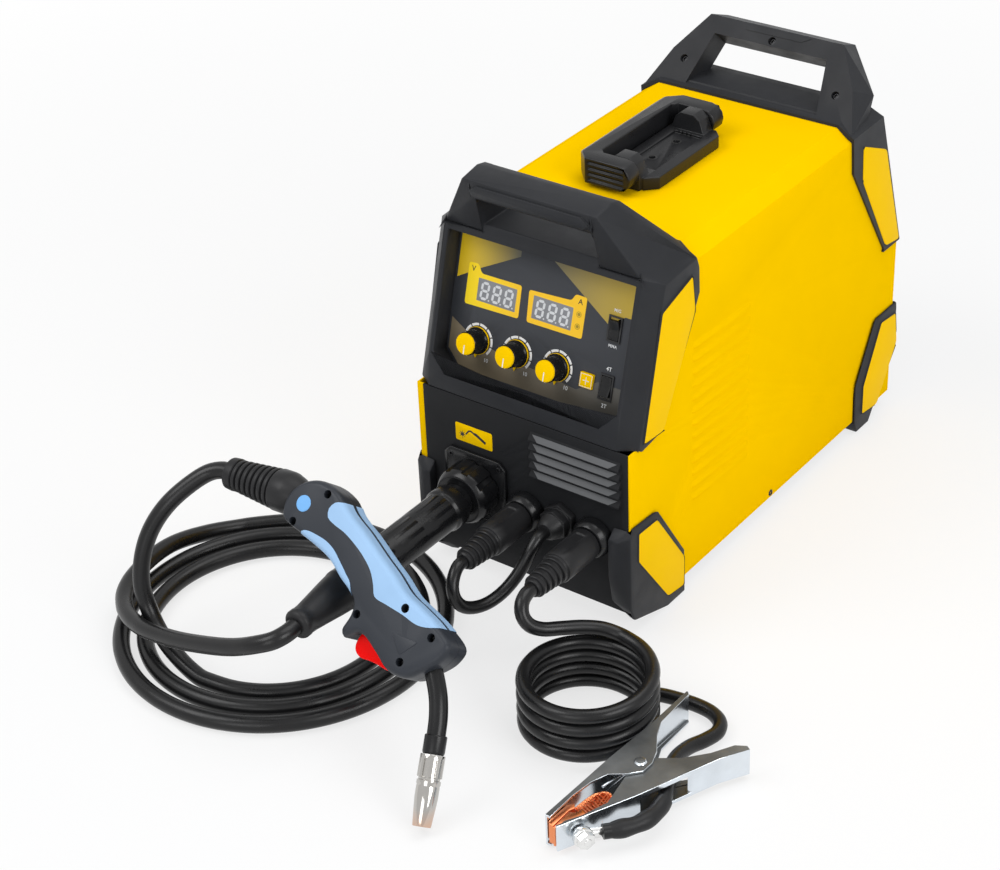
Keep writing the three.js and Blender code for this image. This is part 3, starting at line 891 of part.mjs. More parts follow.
const SPRING = { radius: 7, wire: 1.2, curls: 5, low: 8, high: 23 };
const coils = new Loops(CLAMP.pivot, 200, 200 + 360 * SPRING.curls, () => SPRING.radius,
  (t) => SPRING.low + (SPRING.high - SPRING.low) * t);
const springLeg = (t, to) => solid(tube(new THREE.LineCurve3(coils.getPoint(t), V(...to)), SPRING.wire, 1, 5));
node('clamp_spring', join(solid(tube(coils, SPRING.wire, 8 * SPRING.curls, 5)),
  springLeg(0, [196.5, -120, SPRING.low]), springLeg(1, [199, -182, SPRING.high])), STEEL);
console.log('spring gap', leastGap(coils, 2 * SPRING.wire, 0.6 / SPRING.curls, 300).toFixed(2));

const PAD = { low: 7, high: 24.5 };
node('clamp_contact_upper', prism('z', [[188.6, -234.5], [190.6, -237], [194.4, -237], [194.4, -218], [196.6, -213],
  [193, -209], [189.6, -214]], PAD.low, PAD.high), COPPER);
node('clamp_contact_lower', prism('z', [[195, -238.4], [196.6, -238.2], [202.6, -225.8], [206.4, -214], [201.6, -211],
  [199, -217], [195, -218.5]], PAD.low, PAD.high), COPPER);

// ---------------------------------------------------------------- lifting handle on the top
const armBack = LIFT.armFront + LIFT.long;
const [earFront, earBack] = [LIFT.armFront + LIFT.armThick + GAP, armBack - LIFT.armThick - GAP];
function liftBase() {
  const at = (up) => BODY.top + up;
  const z0 = at(GAP);
  const [y0, y1] = [LIFT.armFront + 19, armBack - 16.2];
  const plate = prism('z', [[-20.5, y0 + 6], [-14, y0], [16, y0], [25.2, y0 + 9], [25.2, y1 - 7.8], [18, y1],
    [-14, y1], [-20.5, y1 - 4.8]], z0, at(11));
  const trough = box(-11, 15, y0 + 18, y1 - 16.8, at(8.6), at(23));
  const tread = box(-34, -19, y0, y1 - 1.8, z0, at(2.8));
  const ear = (from, to) => hull([[-17, 11], [14, 11], [10, 22], [4, 26.4], [-8, 26.4], [-13, 22], [-14, GAP],
    [14, GAP]].flatMap(([x, up]) => [[x, from, at(up)], [x, to, at(up)]]));
  const pins = rod(LIFT.pin, [LIFT.x, earFront - 8, LIFT.z], [LIFT.x, earBack + 8, LIFT.z], 12);
  const ears = [ear(earFront, earFront + 14), ear(earBack - 14, earBack)];
  const middle = box(-40, 40, earFront + 14, earBack - 14, at(11.2), at(53));
  const screwsAt = [[-1.5, y0 + 39], [-0.8, y1 - 30.8]].map(([x, y]) => rod(3, [x, y, at(3)], [x, y, at(23)], 8));
  const teeth = range(3).flatMap((i) => [earFront + 17, earBack - 19].map((y) =>
    box(-6 + i * 4, -3.6 + i * 4, y, y + 2, at(10), at(12))));
  return join(cut(join(plate, ears, pins), trough, screwsAt, middle), tread, teeth);
}
node('lift_handle_base', liftBase(), BLACK);

function liftHandle() {
  const { bar, barThick, armFront: f, armThick: a } = LIFT;
  const b = armBack;
  const [x, inner] = [LIFT.x + LIFT.round, bar + barThick];
  const plan = [[bar, f + 15], [bar + 14, f], [x + 1, f], [x + 1, f + a], [inner + 4, f + a], [inner, f + a + 4],
    [inner, b - a - 4], [inner + 4, b - a], [x + 1, b - a], [x + 1, b], [bar + 17, b], [bar, b - 15]];
  const nose = range(7).map((i) => {
    const t = rad(-90 + i * 30);
    return [LIFT.x + LIFT.round * Math.cos(t), LIFT.z + LIFT.round * Math.sin(t)];
  });
  const section = [[bar, LIFT.under + 2], [bar + 2, LIFT.under], ...nose, [bar + 6, LIFT.top - 0.6],
    [bar, LIFT.top - 5]];
  const form = prism('z', plan, LIFT.under, LIFT.top).intersect(prism('y', section, f - 1, b + 1));
  const bore = [[f + a - 8.6, f + a + 1], [b - a - 1, b - a + 8.6]].map(([from, to]) =>
    rod(LIFT.pin + GAP, [LIFT.x, from, LIFT.z], [LIFT.x, to, LIFT.z], 12));
  const grooves = range(4).flatMap((i) => {
    const z = LIFT.under + 3.2 + i * 4.8;
    return [box(-24, 9, f - 1, f + 1.8, z, z + 2.4), box(-24, 9, b - 1.8, b + 1, z, z + 2.4)];
  });
  return cut(form, bore, grooves);
}
node('lift_handle', liftHandle(), BLACK);

// ---------------------------------------------------------------- wire compartment
const spoolWide = SPOOL.far - SPOOL.near;
node('wire_spool', turned([[SPOOL.bore, 0], [SPOOL.radius, 0], [SPOOL.radius, SPOOL.flange],
  [SPOOL.winding, SPOOL.flange], [SPOOL.winding, spoolWide - SPOOL.flange],
  [SPOOL.radius, spoolWide - SPOOL.flange], [SPOOL.radius, spoolWide], [SPOOL.bore, spoolWide],
  [SPOOL.bore, 0]], [SPOOL.near, SPOOL.y, SPOOL.z], [1, 0, 0], 18), COPPER);
const spoolAxis = (x) => [x, SPOOL.y, SPOOL.z];
node('spool_hub', join(
  rod(SPOOL.bore - 2 * GAP, spoolAxis(SPOOL.near - 1), spoolAxis(SPOOL.far + 1), 14),
  rod(31, spoolAxis(SPOOL.far + GAP), spoolAxis(DIVIDER.x - GAP), 12),
  rod(30, spoolAxis(SPOOL.near - 5), spoolAxis(SPOOL.near - GAP), 12)), BLACK);

const wireX = EURO.x;
const press = { y: DRIVE.y, z: EURO.z + DRIVE.wire / 2 + DRIVE.pressRadius, pivotY: DRIVE.y + 30, pivotZ: EURO.z + 18 };
function feedUnit() {
  const plate = box(DIVIDER.x - 4, DIVIDER.x - GAP, 34, 102, driveZ - 24, EURO.z + 32);
  const shaft = rod(DRIVE.shaft, [DIVIDER.x - 2, DRIVE.y, driveZ], [wireX - DRIVE.wide / 2 - 3, DRIVE.y, driveZ], 14);
  const pivot = rod(3.5, [DIVIDER.x - 2, press.pivotY, press.pivotZ], [wireX - 8, press.pivotY, press.pivotZ], 14);
  const gearbox = rod(10.5, [DIVIDER.x - 3, DRIVE.y, driveZ], [DIVIDER.x + 6, DRIVE.y, driveZ], 12);
  const motor = rod(24, [DIVIDER.x + 3, DRIVE.y, driveZ], [DIVIDER.x + 78, DRIVE.y, driveZ], 12);
  const guide = cut(join(rod(4, [wireX, 84, EURO.z], [wireX, 112, EURO.z], 12),
    box(wireX - 4, DIVIDER.x - 2, 92, 100, EURO.z - 6, EURO.z + 3)),
  rod(1.5, [wireX, 80, EURO.z], [wireX, 120, EURO.z], 8));
  return join(plate, shaft, pivot, gearbox, motor, guide);
}
node('feed_unit', feedUnit(), GREY);

const half = DRIVE.wide / 2;
node('drive_roll', turned([[DRIVE.shaft + GAP, 0], [DRIVE.radius, 0], [DRIVE.radius, half - 1], [DRIVE.radius - 0.8, half],
  [DRIVE.radius, half + 1], [DRIVE.radius, DRIVE.wide], [DRIVE.shaft + GAP, DRIVE.wide], [DRIVE.shaft + GAP, 0]],
[wireX - half, DRIVE.y, driveZ], [1, 0, 0], 14), STEEL);

function pressureArm() {
  const roll = rod(DRIVE.pressRadius, [wireX - 4, press.y, press.z], [wireX + 4, press.y, press.z], 14);
  const axle = rod(3, [wireX - 4, press.y, press.z], [wireX + 9, press.y, press.z], 12);
  const arm = cut(hull([[press.pivotY + 8, press.pivotZ - 7], [press.pivotY + 8, press.pivotZ + 7],
    [press.y - 22, press.z + 5], [press.y - 22, press.z - 3], [press.y, press.z - 6]].flatMap(([y, z]) =>
    [[wireX + 5, y, z], [wireX + 9, y, z]])),
  rod(3.5 + GAP, [wireX - 20, press.pivotY, press.pivotZ], [wireX + 30, press.pivotY, press.pivotZ], 14));
  return join(roll, axle, arm);
}
node('pressure_arm', pressureArm(), STEEL);

// ---------------------------------------------------------------- rear
function fanHousing() {
  const frame = cut(box(fanX - fanSide, fanX + fanSide, fanFront, fanRear, FAN.z - fanSide, FAN.z + fanSide),
    rod(fanBore, [fanX, fanFront - 5, FAN.z], [fanX, fanRear + 5, FAN.z], 20));
  const arm = fanBore + 1;
  const spokes = [box(fanX - arm, fanX + arm, fanRear - 4, fanRear, FAN.z - 3, FAN.z + 3),
    box(fanX - 3, fanX + 3, fanRear - 4, fanRear, FAN.z - arm, FAN.z + arm)];
  const seat = rod(18, [fanX, fanRear - 4, FAN.z], [fanX, fanRear, FAN.z], 12);
  return join(frame, spokes, seat, rod(3, [fanX, fanRear - 9, FAN.z], [fanX, fanRear - 2, FAN.z], 12));
}
node('fan_housing', fanHousing(), BLACK);

function fanRotor() {
  const [front, back] = [fanFront + 3, fanRear - 4 - GAP];
  const hub = cut(rod(FAN.hub, [fanX, front, FAN.z], [fanX, back, FAN.z], 14),
    rod(3 + GAP, [fanX, fanRear - 9 - GAP, FAN.z], [fanX, fanRear, FAN.z], 12));
  const blade = range(FAN.blades).map((i) => {
    const a = (i / FAN.blades) * 2 * Math.PI;
    const at = (r, turn, y) => [fanX + r * Math.cos(a + turn), y, FAN.z + r * Math.sin(a + turn)];
    return hull([[FAN.hub - 2, 0, front + 1], [FAN.hub - 2, 0.5, back - 1], [fanBore - 2, 0.12, front + 1],
      [fanBore - 2, 0.45, back - 1], [FAN.hub - 2, 0.07, front + 1], [FAN.hub - 2, 0.57, back - 1],
      [fanBore - 2, 0.15, front + 1], [fanBore - 2, 0.48, back - 1]].map(([r, t, y]) => at(r, t, y)));
  });
  return join(hub, blade);
}
node('fan_rotor', fanRotor(), BLACK);

const [switchX, switchZ] = MAINS_SWITCH;
node('power_rocker', prism('x', rockerSection(ROCKER.tilt).map(([a, b]) => [BODY.rear - GAP + 1 + b, switchZ + a]),
  switchX - 6.6, switchX + 6.6), RUBBER);

const atRear = (t, [x, z]) => [x, BODY.rear + t, z];
node('gas_inlet', join(rod(6, atRear(-14, GAS_INLET), atRear(2, GAS_INLET), 16),
  rod(9, atRear(0, GAS_INLET), atRear(6, GAS_INLET), 6),
  turned([[0, 0], [4, 0], [4, 2], [4.8, 2], [3.8, 5], [4.8, 5], [3.8, 8], [0, 8]],
    atRear(5, GAS_INLET), [0, 1, 0], 12)), NICKEL);
node('mains_gland', join(rod(8, atRear(-10, MAINS_GLAND), atRear(2, MAINS_GLAND), 14),
  rod(13, atRear(0, MAINS_GLAND), atRear(5, MAINS_GLAND), 6),
  cut(turned([[0, 0], [11, 0], [11, 8], [7, 13], [0, 13]], atRear(4, MAINS_GLAND), [0, 1, 0], 14),
    rod(4, atRear(8, MAINS_GLAND), atRear(30, MAINS_GLAND), 16))), RUBBER);

// ---------------------------------------------------------------- origin: bottom centre without the leads
const ON_LEADS = ['euro_plug_nut', 'euro_plug_body', 'euro_plug_boot', 'polarity_plug', 'earth_plug'];
model.updateMatrixWorld(true);
const extent = new THREE.Box3();
machine.traverse((mesh) => {
  if (!mesh.isMesh || mesh.name.includes('cable') || ON_LEADS.includes(mesh.name)) return;
  extent.expandByObject(mesh, true);
});
const centre = extent.getCenter(V(0, 0, 0));
machine.position.set(-centre.x, -centre.y, -extent.min.z);
console.log('origin moved by', machine.position.toArray().map((c) => c.toFixed(3)).join(' '), 'box',
  extent.min.toArray().map((c) => c.toFixed(2)).join(' '), extent.max.toArray().map((c) => c.toFixed(2)).join(' '));

export default model;
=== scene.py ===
"""MIG welding machine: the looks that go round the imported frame.

Numbers are millimetres in the machine's own place, unless a comment says otherwise: x = 0 is its mid-plane,
y = 0 the front panel and z = 0 the ground. at() turns them into metres in the row frame.
"""
import json
import math

import bmesh
import bpy
from mathutils import Matrix, Vector


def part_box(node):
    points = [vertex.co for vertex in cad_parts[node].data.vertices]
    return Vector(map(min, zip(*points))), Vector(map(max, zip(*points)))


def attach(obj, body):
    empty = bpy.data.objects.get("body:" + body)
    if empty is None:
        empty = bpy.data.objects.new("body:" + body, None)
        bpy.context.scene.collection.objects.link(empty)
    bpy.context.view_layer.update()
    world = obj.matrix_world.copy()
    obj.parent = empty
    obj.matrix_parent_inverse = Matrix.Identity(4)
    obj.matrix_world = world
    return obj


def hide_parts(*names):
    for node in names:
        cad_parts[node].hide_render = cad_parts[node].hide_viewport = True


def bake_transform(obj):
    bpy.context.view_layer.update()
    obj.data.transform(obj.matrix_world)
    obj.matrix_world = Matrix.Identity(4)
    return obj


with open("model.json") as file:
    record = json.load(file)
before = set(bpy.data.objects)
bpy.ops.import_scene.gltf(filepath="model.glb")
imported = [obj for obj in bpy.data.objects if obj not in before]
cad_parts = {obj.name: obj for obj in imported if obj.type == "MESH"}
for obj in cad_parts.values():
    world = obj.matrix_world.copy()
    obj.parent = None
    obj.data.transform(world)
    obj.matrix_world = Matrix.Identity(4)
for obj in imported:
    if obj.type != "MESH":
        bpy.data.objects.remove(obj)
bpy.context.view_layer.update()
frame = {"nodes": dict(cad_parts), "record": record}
NODES = frame["nodes"]

# ---------- places
MM = 0.001
COVER_HALF, COVER_FRONT = 102, 0.5           # the cover's right side and front edge in the machine's place
SHIFT = Vector((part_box("main_cover")[1].x - COVER_HALF * MM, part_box("main_cover")[0].y - COVER_FRONT * MM, 0))
LEAN = math.radians(15.9)
LIP = (0, 1.1, 187.3)
TORCH_AT, TORCH_TILT = (-21.4, -175.2, 124.5), math.radians(50.1)


def at(x, y, z):
    return Vector((x, y, z)) * MM + SHIFT


def place(origin, turn=None):
    return Matrix.Translation(at(*origin)) @ (turn or Matrix.Identity(4)) @ Matrix.Scale(MM, 4)


MACHINE = place((0, 0, 0))
FACE = place(LIP, Matrix.Rotation(math.pi / 2 - LEAN, 4, "X"))       # x across, y up the face, z out of it
TORCH = place(TORCH_AT, Matrix.Rotation(TORCH_TILT, 4, "X"))
SIDEWAYS = Matrix(((0, 0, 1, 0), (1, 0, 0, 0), (0, 1, 0, 0), (0, 0, 0, 1)))     # (y, z, x) outlines
FORWARD = (0, -1, 0)
FRONTWAYS = Matrix(((1, 0, 0, 0), (0, 0, -1, 0), (0, 1, 0, 0), (0, 0, 0, 1)))   # (x, z, -y) outlines


def into_scene(name, data):
    obj = bpy.data.objects.new(name, data)
    bpy.context.scene.collection.objects.link(obj)
    return obj


# ---------- camera
def camera():
    azimuth, elevation, roll = (math.radians(a) for a in (37.64, 32.49, -2.54))
    focal_px, width_px, sensor = 2341, 1000, 36
    eye = at(930, -1232, 1139)
    back = Vector((math.sin(azimuth) * math.cos(elevation), -math.cos(azimuth) * math.cos(elevation),
                   math.sin(elevation)))
    right = Vector((math.cos(azimuth), math.sin(azimuth), 0))
    up = back.cross(right)
    c, s = math.cos(roll), math.sin(roll)
    axes = (right * c + up * s, -right * s + up * c, back)
    data = bpy.data.cameras.new("camera")
    data.sensor_width, data.sensor_fit = sensor, "HORIZONTAL"
    data.lens = focal_px / width_px * sensor
    data.clip_start, data.clip_end = 0.05, 60
    view = into_scene("camera", data)
    view.matrix_world = Matrix.Translation(eye) @ Matrix(axes).transposed().to_4x4()
    bpy.context.scene.camera = view


camera()


# ---------- materials
def feed(tree, shader, inputs):
    """Sets a node's sockets to values, or links them to other nodes' outputs."""
    for key, value in inputs.items():
        if isinstance(value, bpy.types.NodeSocket):
            tree.links.new(value, shader.inputs[key])
        else:
            shader.inputs[key].default_value = value


def add_node(tree, kind, inputs=None, **settings):
    """A shader node of the kind, with its settings first and then its sockets."""
    made = tree.nodes.new("ShaderNode" + kind)
    for key, value in settings.items():
        setattr(made, key, value)
    feed(tree, made, inputs or {})
    return made


def object_place(tree):
    return add_node(tree, "TexCoord").outputs["Object"]


def mixed(tree, share, low, high):
    """The colour between low and high at the share."""
    mix = add_node(tree, "Mix", {"A": (*low, 1), "B": (*high, 1), "Factor": share}, data_type="RGBA")
    return mix.outputs["Result"]


def material(name, color, rough, metal=0.0, grain=900, bump=0.08, mottle=0.06, rough_vary=0.06, gloss=0.5):
    """Moulded, painted or plated finish: fine grain in the bump, slow mottling in colour and roughness."""
    m = bpy.data.materials.new(name)
    m.use_nodes = True
    tree = m.node_tree
    where = object_place(tree)

    def noise(scale, detail):
        return add_node(tree, "TexNoise", {"Scale": scale, "Detail": detail, "Vector": where}).outputs["Fac"]

    def spread(value, low, high):
        limits = {"From Min": 0.3, "From Max": 0.7, "To Min": low, "To Max": high}
        return add_node(tree, "MapRange", {**limits, "Value": value}).outputs["Result"]

    dark, light = [c * (1 - mottle) for c in color], [min(1, c * (1 + mottle)) for c in color]
    fine = add_node(tree, "Bump", {"Strength": bump, "Distance": 0.0004, "Height": noise(grain, 3)})
    feed(tree, tree.nodes["Principled BSDF"], {
        "Metallic": metal,
        "Specular IOR Level": gloss,
        "Base Color": mixed(tree, spread(noise(26, 6), 0, 1), dark, light),
        "Roughness": spread(noise(60, 8), rough - rough_vary, rough + rough_vary),
        "Normal": fine.outputs["Normal"],
    })
    return m


def gradient(m, axis, start, end, low, high):
    """Turns a finish's base colour into a sweep from `low` at start to `high` at end, along a row axis."""
    tree = m.node_tree
    split = add_node(tree, "SeparateXYZ", {0: object_place(tree)})
    share = add_node(tree, "MapRange", {"From Min": start, "From Max": end, "Value": split.outputs[axis]})
    feed(tree, tree.nodes["Principled BSDF"], {"Base Color": mixed(tree, share.outputs["Result"], low, high)})
    return m


PAINT = material("yellow_paint", (0.98, 0.59, 0.0), 0.42, grain=420, bump=0.05, mottle=0.012, gloss=0.0)
YELLOW = material("yellow_plastic", (0.98, 0.60, 0.0), 0.38, grain=1200, bump=0.05, mottle=0.015, gloss=0.02)
BLACK = material("black_plastic", (0.024, 0.025, 0.028), 0.46, grain=1500, bump=0.16, mottle=0.10, gloss=0.15)
SHEET = material("black_sheet", (0.018, 0.0185, 0.020), 0.50, grain=700, bump=0.10, gloss=0.10)
HANDLE_BLACK = material("handle_plastic", (0.012, 0.0122, 0.0135), 0.30, grain=1500, bump=0.08, gloss=0.28)
CONNECTOR = material("connector_plastic", (0.008, 0.0082, 0.009), 0.26, grain=1600, bump=0.05, gloss=0.3)
RUBBER = material("rubber", (0.015, 0.015, 0.016), 0.42, grain=800, bump=0.12, rough_vary=0.08, gloss=0.25)
CABLE = material("cable_rubber", (0.008, 0.008, 0.0085), 0.30, grain=500, bump=0.06, rough_vary=0.07,
                 gloss=0.32)
FILM = material("display_film", (0.050, 0.053, 0.060), 0.40, grain=2500, bump=0.02, mottle=0.03, gloss=0.2)
GREY_SHEET = material("grey_sheet", (0.42, 0.43, 0.45), 0.38, metal=0.7, grain=300, bump=0.05)
SLATE = material("torch_plastic", (0.024, 0.028, 0.036), 0.42, grain=1400, bump=0.10, mottle=0.05, gloss=0.3)
SKY = material("torch_soft_pad", (0.34, 0.53, 0.78), 0.46, grain=1800, bump=0.06, mottle=0.03, gloss=0.15)
DOT = material("torch_dot", (0.16, 0.42, 0.80), 0.40, grain=1800, bump=0.04)
RED = material("red_plastic", (0.88, 0.004, 0.003), 0.26, grain=1500, bump=0.02, mottle=0.02, gloss=0.1)
STEEL = material("plated_steel", (0.74, 0.79, 0.84), 0.20, metal=1.0, grain=140, bump=0.05, mottle=0.10)
# darker copy of the clamp jaws' metal for their flat cheeks: painted shade
ZINC_PAINTED_SHADE = material("zinc_painted_shade", (0.15, 0.155, 0.155), 0.46, metal=0.6, grain=220, bump=0.12, mottle=0.35,
                gloss=0.2)
BRIGHT = material("bright_fastener", (0.80, 0.80, 0.79), 0.16, metal=1.0, grain=600, bump=0.03)
DARK_STEEL = material("blackened_screw", (0.020, 0.020, 0.022), 0.34, metal=0.6, grain=900, bump=0.05)
COPPER = material("copper", (0.86, 0.30, 0.13), 0.30, metal=1.0, grain=260, bump=0.08, mottle=0.12)
WOUND = material("wound_wire", (0.80, 0.36, 0.18), 0.36, metal=1.0, grain=200, bump=0.4)
SINK = material("heat_sink", (0.66, 0.67, 0.69), 0.36, metal=1.0, grain=220, bump=0.06)
WHITE_PRINT = material("white_print", (0.82, 0.83, 0.84), 0.45, grain=2000, bump=0.01, mottle=0.01)
# black print, also used for the dark rings that stand in for the base screw recesses: painted shade
BLACK_PRINT_AND_SHADE = material("black_print_and_shade", (0.012, 0.012, 0.012), 0.45, grain=2000, bump=0.01, mottle=0.01)
LCD = material("meter_window", (0.24, 0.245, 0.26), 0.34, grain=2500, bump=0.01, mottle=0.02, gloss=0.2)
SEGMENT = material("meter_segment", (0.66, 0.67, 0.69), 0.35, grain=2500, bump=0.01, mottle=0.02)
# paler grey over the front slats of the black sheet: painted highlight
LOUVRE_HIGHLIGHT = material("louvre_painted_highlight", (0.10, 0.103, 0.108), 0.42, grain=700, bump=0.05, gloss=0.3)
NOZZLE = gradient(material("nozzle_metal", (0.8, 0.7, 0.6), 0.12, metal=1.0, grain=200, bump=0.03), 2,
                  at(0, 0, 9).z, at(0, 0, 20).z, (0.66, 0.45, 0.34), (0.52, 0.505, 0.48))


# ---------- mesh code, local millimetres
def settle(mesh, sharp):
    """Smooth shading, with edges kept hard from the angle up."""
    mesh.shade_smooth()
    mesh.set_sharp_from_angle(angle=math.radians(sharp))


def as_mesh(name, bm):
    """The bmesh as mesh data; the bmesh is spent."""
    mesh = bpy.data.meshes.new(name)
    bm.to_mesh(mesh)
    bm.free()
    return mesh


def placed(name, bm, where):
    """A bmesh in local millimetres as mesh data in the row frame, its faces pointing out."""
    bm.transform(where)
    bmesh.ops.recalc_face_normals(bm, faces=bm.faces)
    return as_mesh(name, bm)


def piece(name, bm, finish, body="machine", slot=None, replaces=(), where=MACHINE, bevel=0.0, sharp=38):
    """A bmesh in local millimetres as a piece that rides on a body."""
    slot = slot or finish.name.split(".")[0]      # the finish's name, without the number Blender may add
    return finished(name, placed(name, bm, where), finish, body, replaces, bevel, sharp)


def finished(name, mesh, finish, body, replaces, bevel, sharp, segments=2):
    """Mesh data as a piece with rounded edges and its finish, or a list of finishes."""
    obj = into_scene(name, mesh)
    if bevel:
        m = obj.modifiers.new("edges", "BEVEL")
        m.width, m.segments, m.limit_method = bevel * MM, segments, "ANGLE"
        m.angle_limit, m.use_clamp_overlap = math.radians(sharp - 8), False
        apply(obj)
    settle(obj.data, sharp)
    obj.data.materials.clear()
    for f in (finish if isinstance(finish, list) else [finish]):
        obj.data.materials.append(f)
    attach(obj, body)
    if replaces:
        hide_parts(*replaces)
    return obj


def apply(obj):
    """Bakes an object's modifiers into its mesh."""
    shaped = bpy.data.meshes.new_from_object(obj.evaluated_get(bpy.context.evaluated_depsgraph_get()))
    obj.modifiers.clear()
    obj.data = shaped


BODY_OF = {n: b for b, ns in frame["record"]["behaviour"]["bodies"].items() for n in ns}


def dress(node, finish, bevel, sharp=38, segments=2):
    """A moulded or pressed node with its hard edges rounded, in place of its faceted solid."""
    bm = bmesh.new()
    bm.from_mesh(NODES[node].data)
    bmesh.ops.remove_doubles(bm, verts=bm.verts, dist=5e-6)
    bmesh.ops.dissolve_limit(bm, angle_limit=math.radians(0.6), verts=bm.verts, edges=bm.edges)
    name = node + "_finish"
    return finished(name, as_mesh(name, bm), finish, BODY_OF[node], (node,), bevel, sharp,
                    segments)


def frame_of(direction):
    """Rotation that takes +Z to the direction."""
    return Vector(direction).normalized().to_track_quat("Z", "Y").to_matrix().to_4x4()


def lathe(profile, start, direction=(0, 0, 1), sides=48, shape=None, bm=None):
    """A profile of (radius, distance) turned round a line; shape(angle, r, t) may change a ring's radius."""
    bm = bm or bmesh.new()
    m = Matrix.Translation(start) @ frame_of(direction)
    rings = []
    closed = profile[0][0] > 0
    for r, t in profile:
        if r == 0:
            rings.append([bm.verts.new(m @ Vector((0, 0, t)))])
            continue
        ring = []
        for i in range(sides):
            a = 2 * math.pi * i / sides
            q = shape(a, r, t) if shape else r
            ring.append(bm.verts.new(m @ Vector((q * math.cos(a), q * math.sin(a), t))))
        rings.append(ring)
    pairs = list(zip(rings, rings[1:])) + ([(rings[-1], rings[0])] if closed else [])
    for a, b in pairs:
        for i in range(sides):
            j = (i + 1) % sides
            corners = [a[i % len(a)], a[j % len(a)], b[j % len(b)], b[i % len(b)]]
            bm.faces.new(list(dict.fromkeys(corners)))
    return bm


def skin(bm, rings):
    """Joins a row of vertex rings into a closed body with flat ends."""
    bm.faces.new(rings[0][::-1])
    bm.faces.new(rings[-1])
    for a, b in zip(rings, rings[1:]):
        for i in range(len(a)):
            j = (i + 1) % len(a)
            bm.faces.new((a[i], a[j], b[j], b[i]))
    return bm


def prism(outline, z0, z1, bm=None):
    bm = bm or bmesh.new()
    return skin(bm, [[bm.verts.new((x, y, z)) for x, y in outline] for z in (z0, z1)])


def disc(radius, t0, t1):
    """The lathe profile of a plain disc or bore."""
    return [(0, t0), (radius, t0), (radius, t1), (0, t1)]


def inset(outline, d):
    """An outline moved inwards by d, or outwards when d is negative."""
    n = len(outline)
    area = sum(p[0] * q[1] - q[0] * p[1] for p, q in zip(outline, outline[1:] + outline[:1]))
    turn = 1 if area > 0 else -1

    def normal(p, q):
        long = math.hypot(q[0] - p[0], q[1] - p[1])
        return (turn * (p[1] - q[1]) / long, turn * (q[0] - p[0]) / long)

    moved = []
    for i, p in enumerate(outline):
        a, b = normal(outline[i - 1], p), normal(p, outline[(i + 1) % n])
        k = d / max(0.35, 1 + a[0] * b[0] + a[1] * b[1])
        moved.append((p[0] + k * (a[0] + b[0]), p[1] + k * (a[1] + b[1])))
    return moved


def pillow(outline, z0, z1, edge, rise, steps=6, both=False):
    """A prism whose upper edge is rounded, `edge` inwards and `rise` down; `both` adds its mirror image."""
    bm = bmesh.new()
    levels = [(0, z0)] + [(edge * (1 - math.cos(t)), z1 - rise + rise * math.sin(t))
                          for t in (math.pi / 2 * i / steps for i in range(steps + 1))]
    if both:
        levels = [(d, -z) for d, z in levels[:0:-1]] + levels
    rings = [[bm.verts.new((x, y, z)) for x, y in (inset(outline, d) if d else outline)] for d, z in levels]
    return skin(bm, rings)


def mirrored(bm):
    bmesh.ops.scale(bm, vec=(1, 1, -1), verts=bm.verts)
    bmesh.ops.reverse_faces(bm, faces=bm.faces)
    return bm


def smooth_line(points, step, closed=False):
    """Centripetal Catmull-Rom curve through the points, sampled about every `step`."""
    pts = [Vector(p) for p in points]
    n = len(pts)
    spans = n if closed else n - 1
    out = []

    def knot(i):
        if closed:
            return pts[i % n]
        if i < 0:
            return pts[0] * 2 - pts[1]
        return pts[i] if i < n else pts[-1] * 2 - pts[-2]

    for i in range(spans):
        p0, p1, p2, p3 = (knot(i + k) for k in (-1, 0, 1, 2))
        d0, d1, d2 = (max((b - a).length, 1e-6) ** 0.5 for a, b in ((p0, p1), (p1, p2), (p2, p3)))
        m1 = ((p1 - p0) / d0 - (p2 - p0) / (d0 + d1) + (p2 - p1) / d1) * d1
        m2 = ((p2 - p1) / d1 - (p3 - p1) / (d1 + d2) + (p3 - p2) / d2) * d1
        count = max(1, round((p2 - p1).length / step))
        for k in range(count):
            t = k / count
            out.append(p1 * (2 * t ** 3 - 3 * t * t + 1) + m1 * (t ** 3 - 2 * t * t + t)
                       + p2 * (-2 * t ** 3 + 3 * t * t) + m2 * (t ** 3 - t * t))
    if not closed:
        out.append(pts[-1])
    return out


def smooth_outline(outline, step):
    return [(p.x, p.y) for p in smooth_line([(x, y, 0) for x, y in outline], step, closed=True)]


def sweep(points, radius, sides, bm=None):
    """A round tube through the points; radius is a number or a function of the share of the way."""
    bm = bm or bmesh.new()
    pts = [Vector(p) for p in points]
    side = None
    rings = []
    for i, p in enumerate(pts):
        along = (pts[min(i + 1, len(pts) - 1)] - pts[max(i - 1, 0)]).normalized()
        side = (side - along * side.dot(along)).normalized() if side else along.orthogonal().normalized()
        up = along.cross(side)
        r = radius(i / (len(pts) - 1)) if callable(radius) else radius
        rings.append([bm.verts.new(p + side * (r * math.cos(a)) + up * (r * math.sin(a)))
                      for a in (2 * math.pi * k / sides for k in range(sides))])
    return skin(bm, rings)


def rounded(outline, radius, steps=4):
    """An outline with its corners rounded."""
    out = []
    n = len(outline)
    for i in range(n):
        a, p, b = (Vector(outline[k % n]) for k in (i - 1, i, i + 1))
        r = min(radius, (a - p).length * 0.45, (b - p).length * 0.45)
        s, e = p + (a - p).normalized() * r, p + (b - p).normalized() * r
        for k in range(steps + 1):
            t = k / steps
            out.append(tuple(s * (1 - t) ** 2 + p * (2 * t * (1 - t)) + e * t * t))
    return out


def rect(x0, x1, y0, y1):
    return [(x0, y0), (x1, y0), (x1, y1), (x0, y1)]


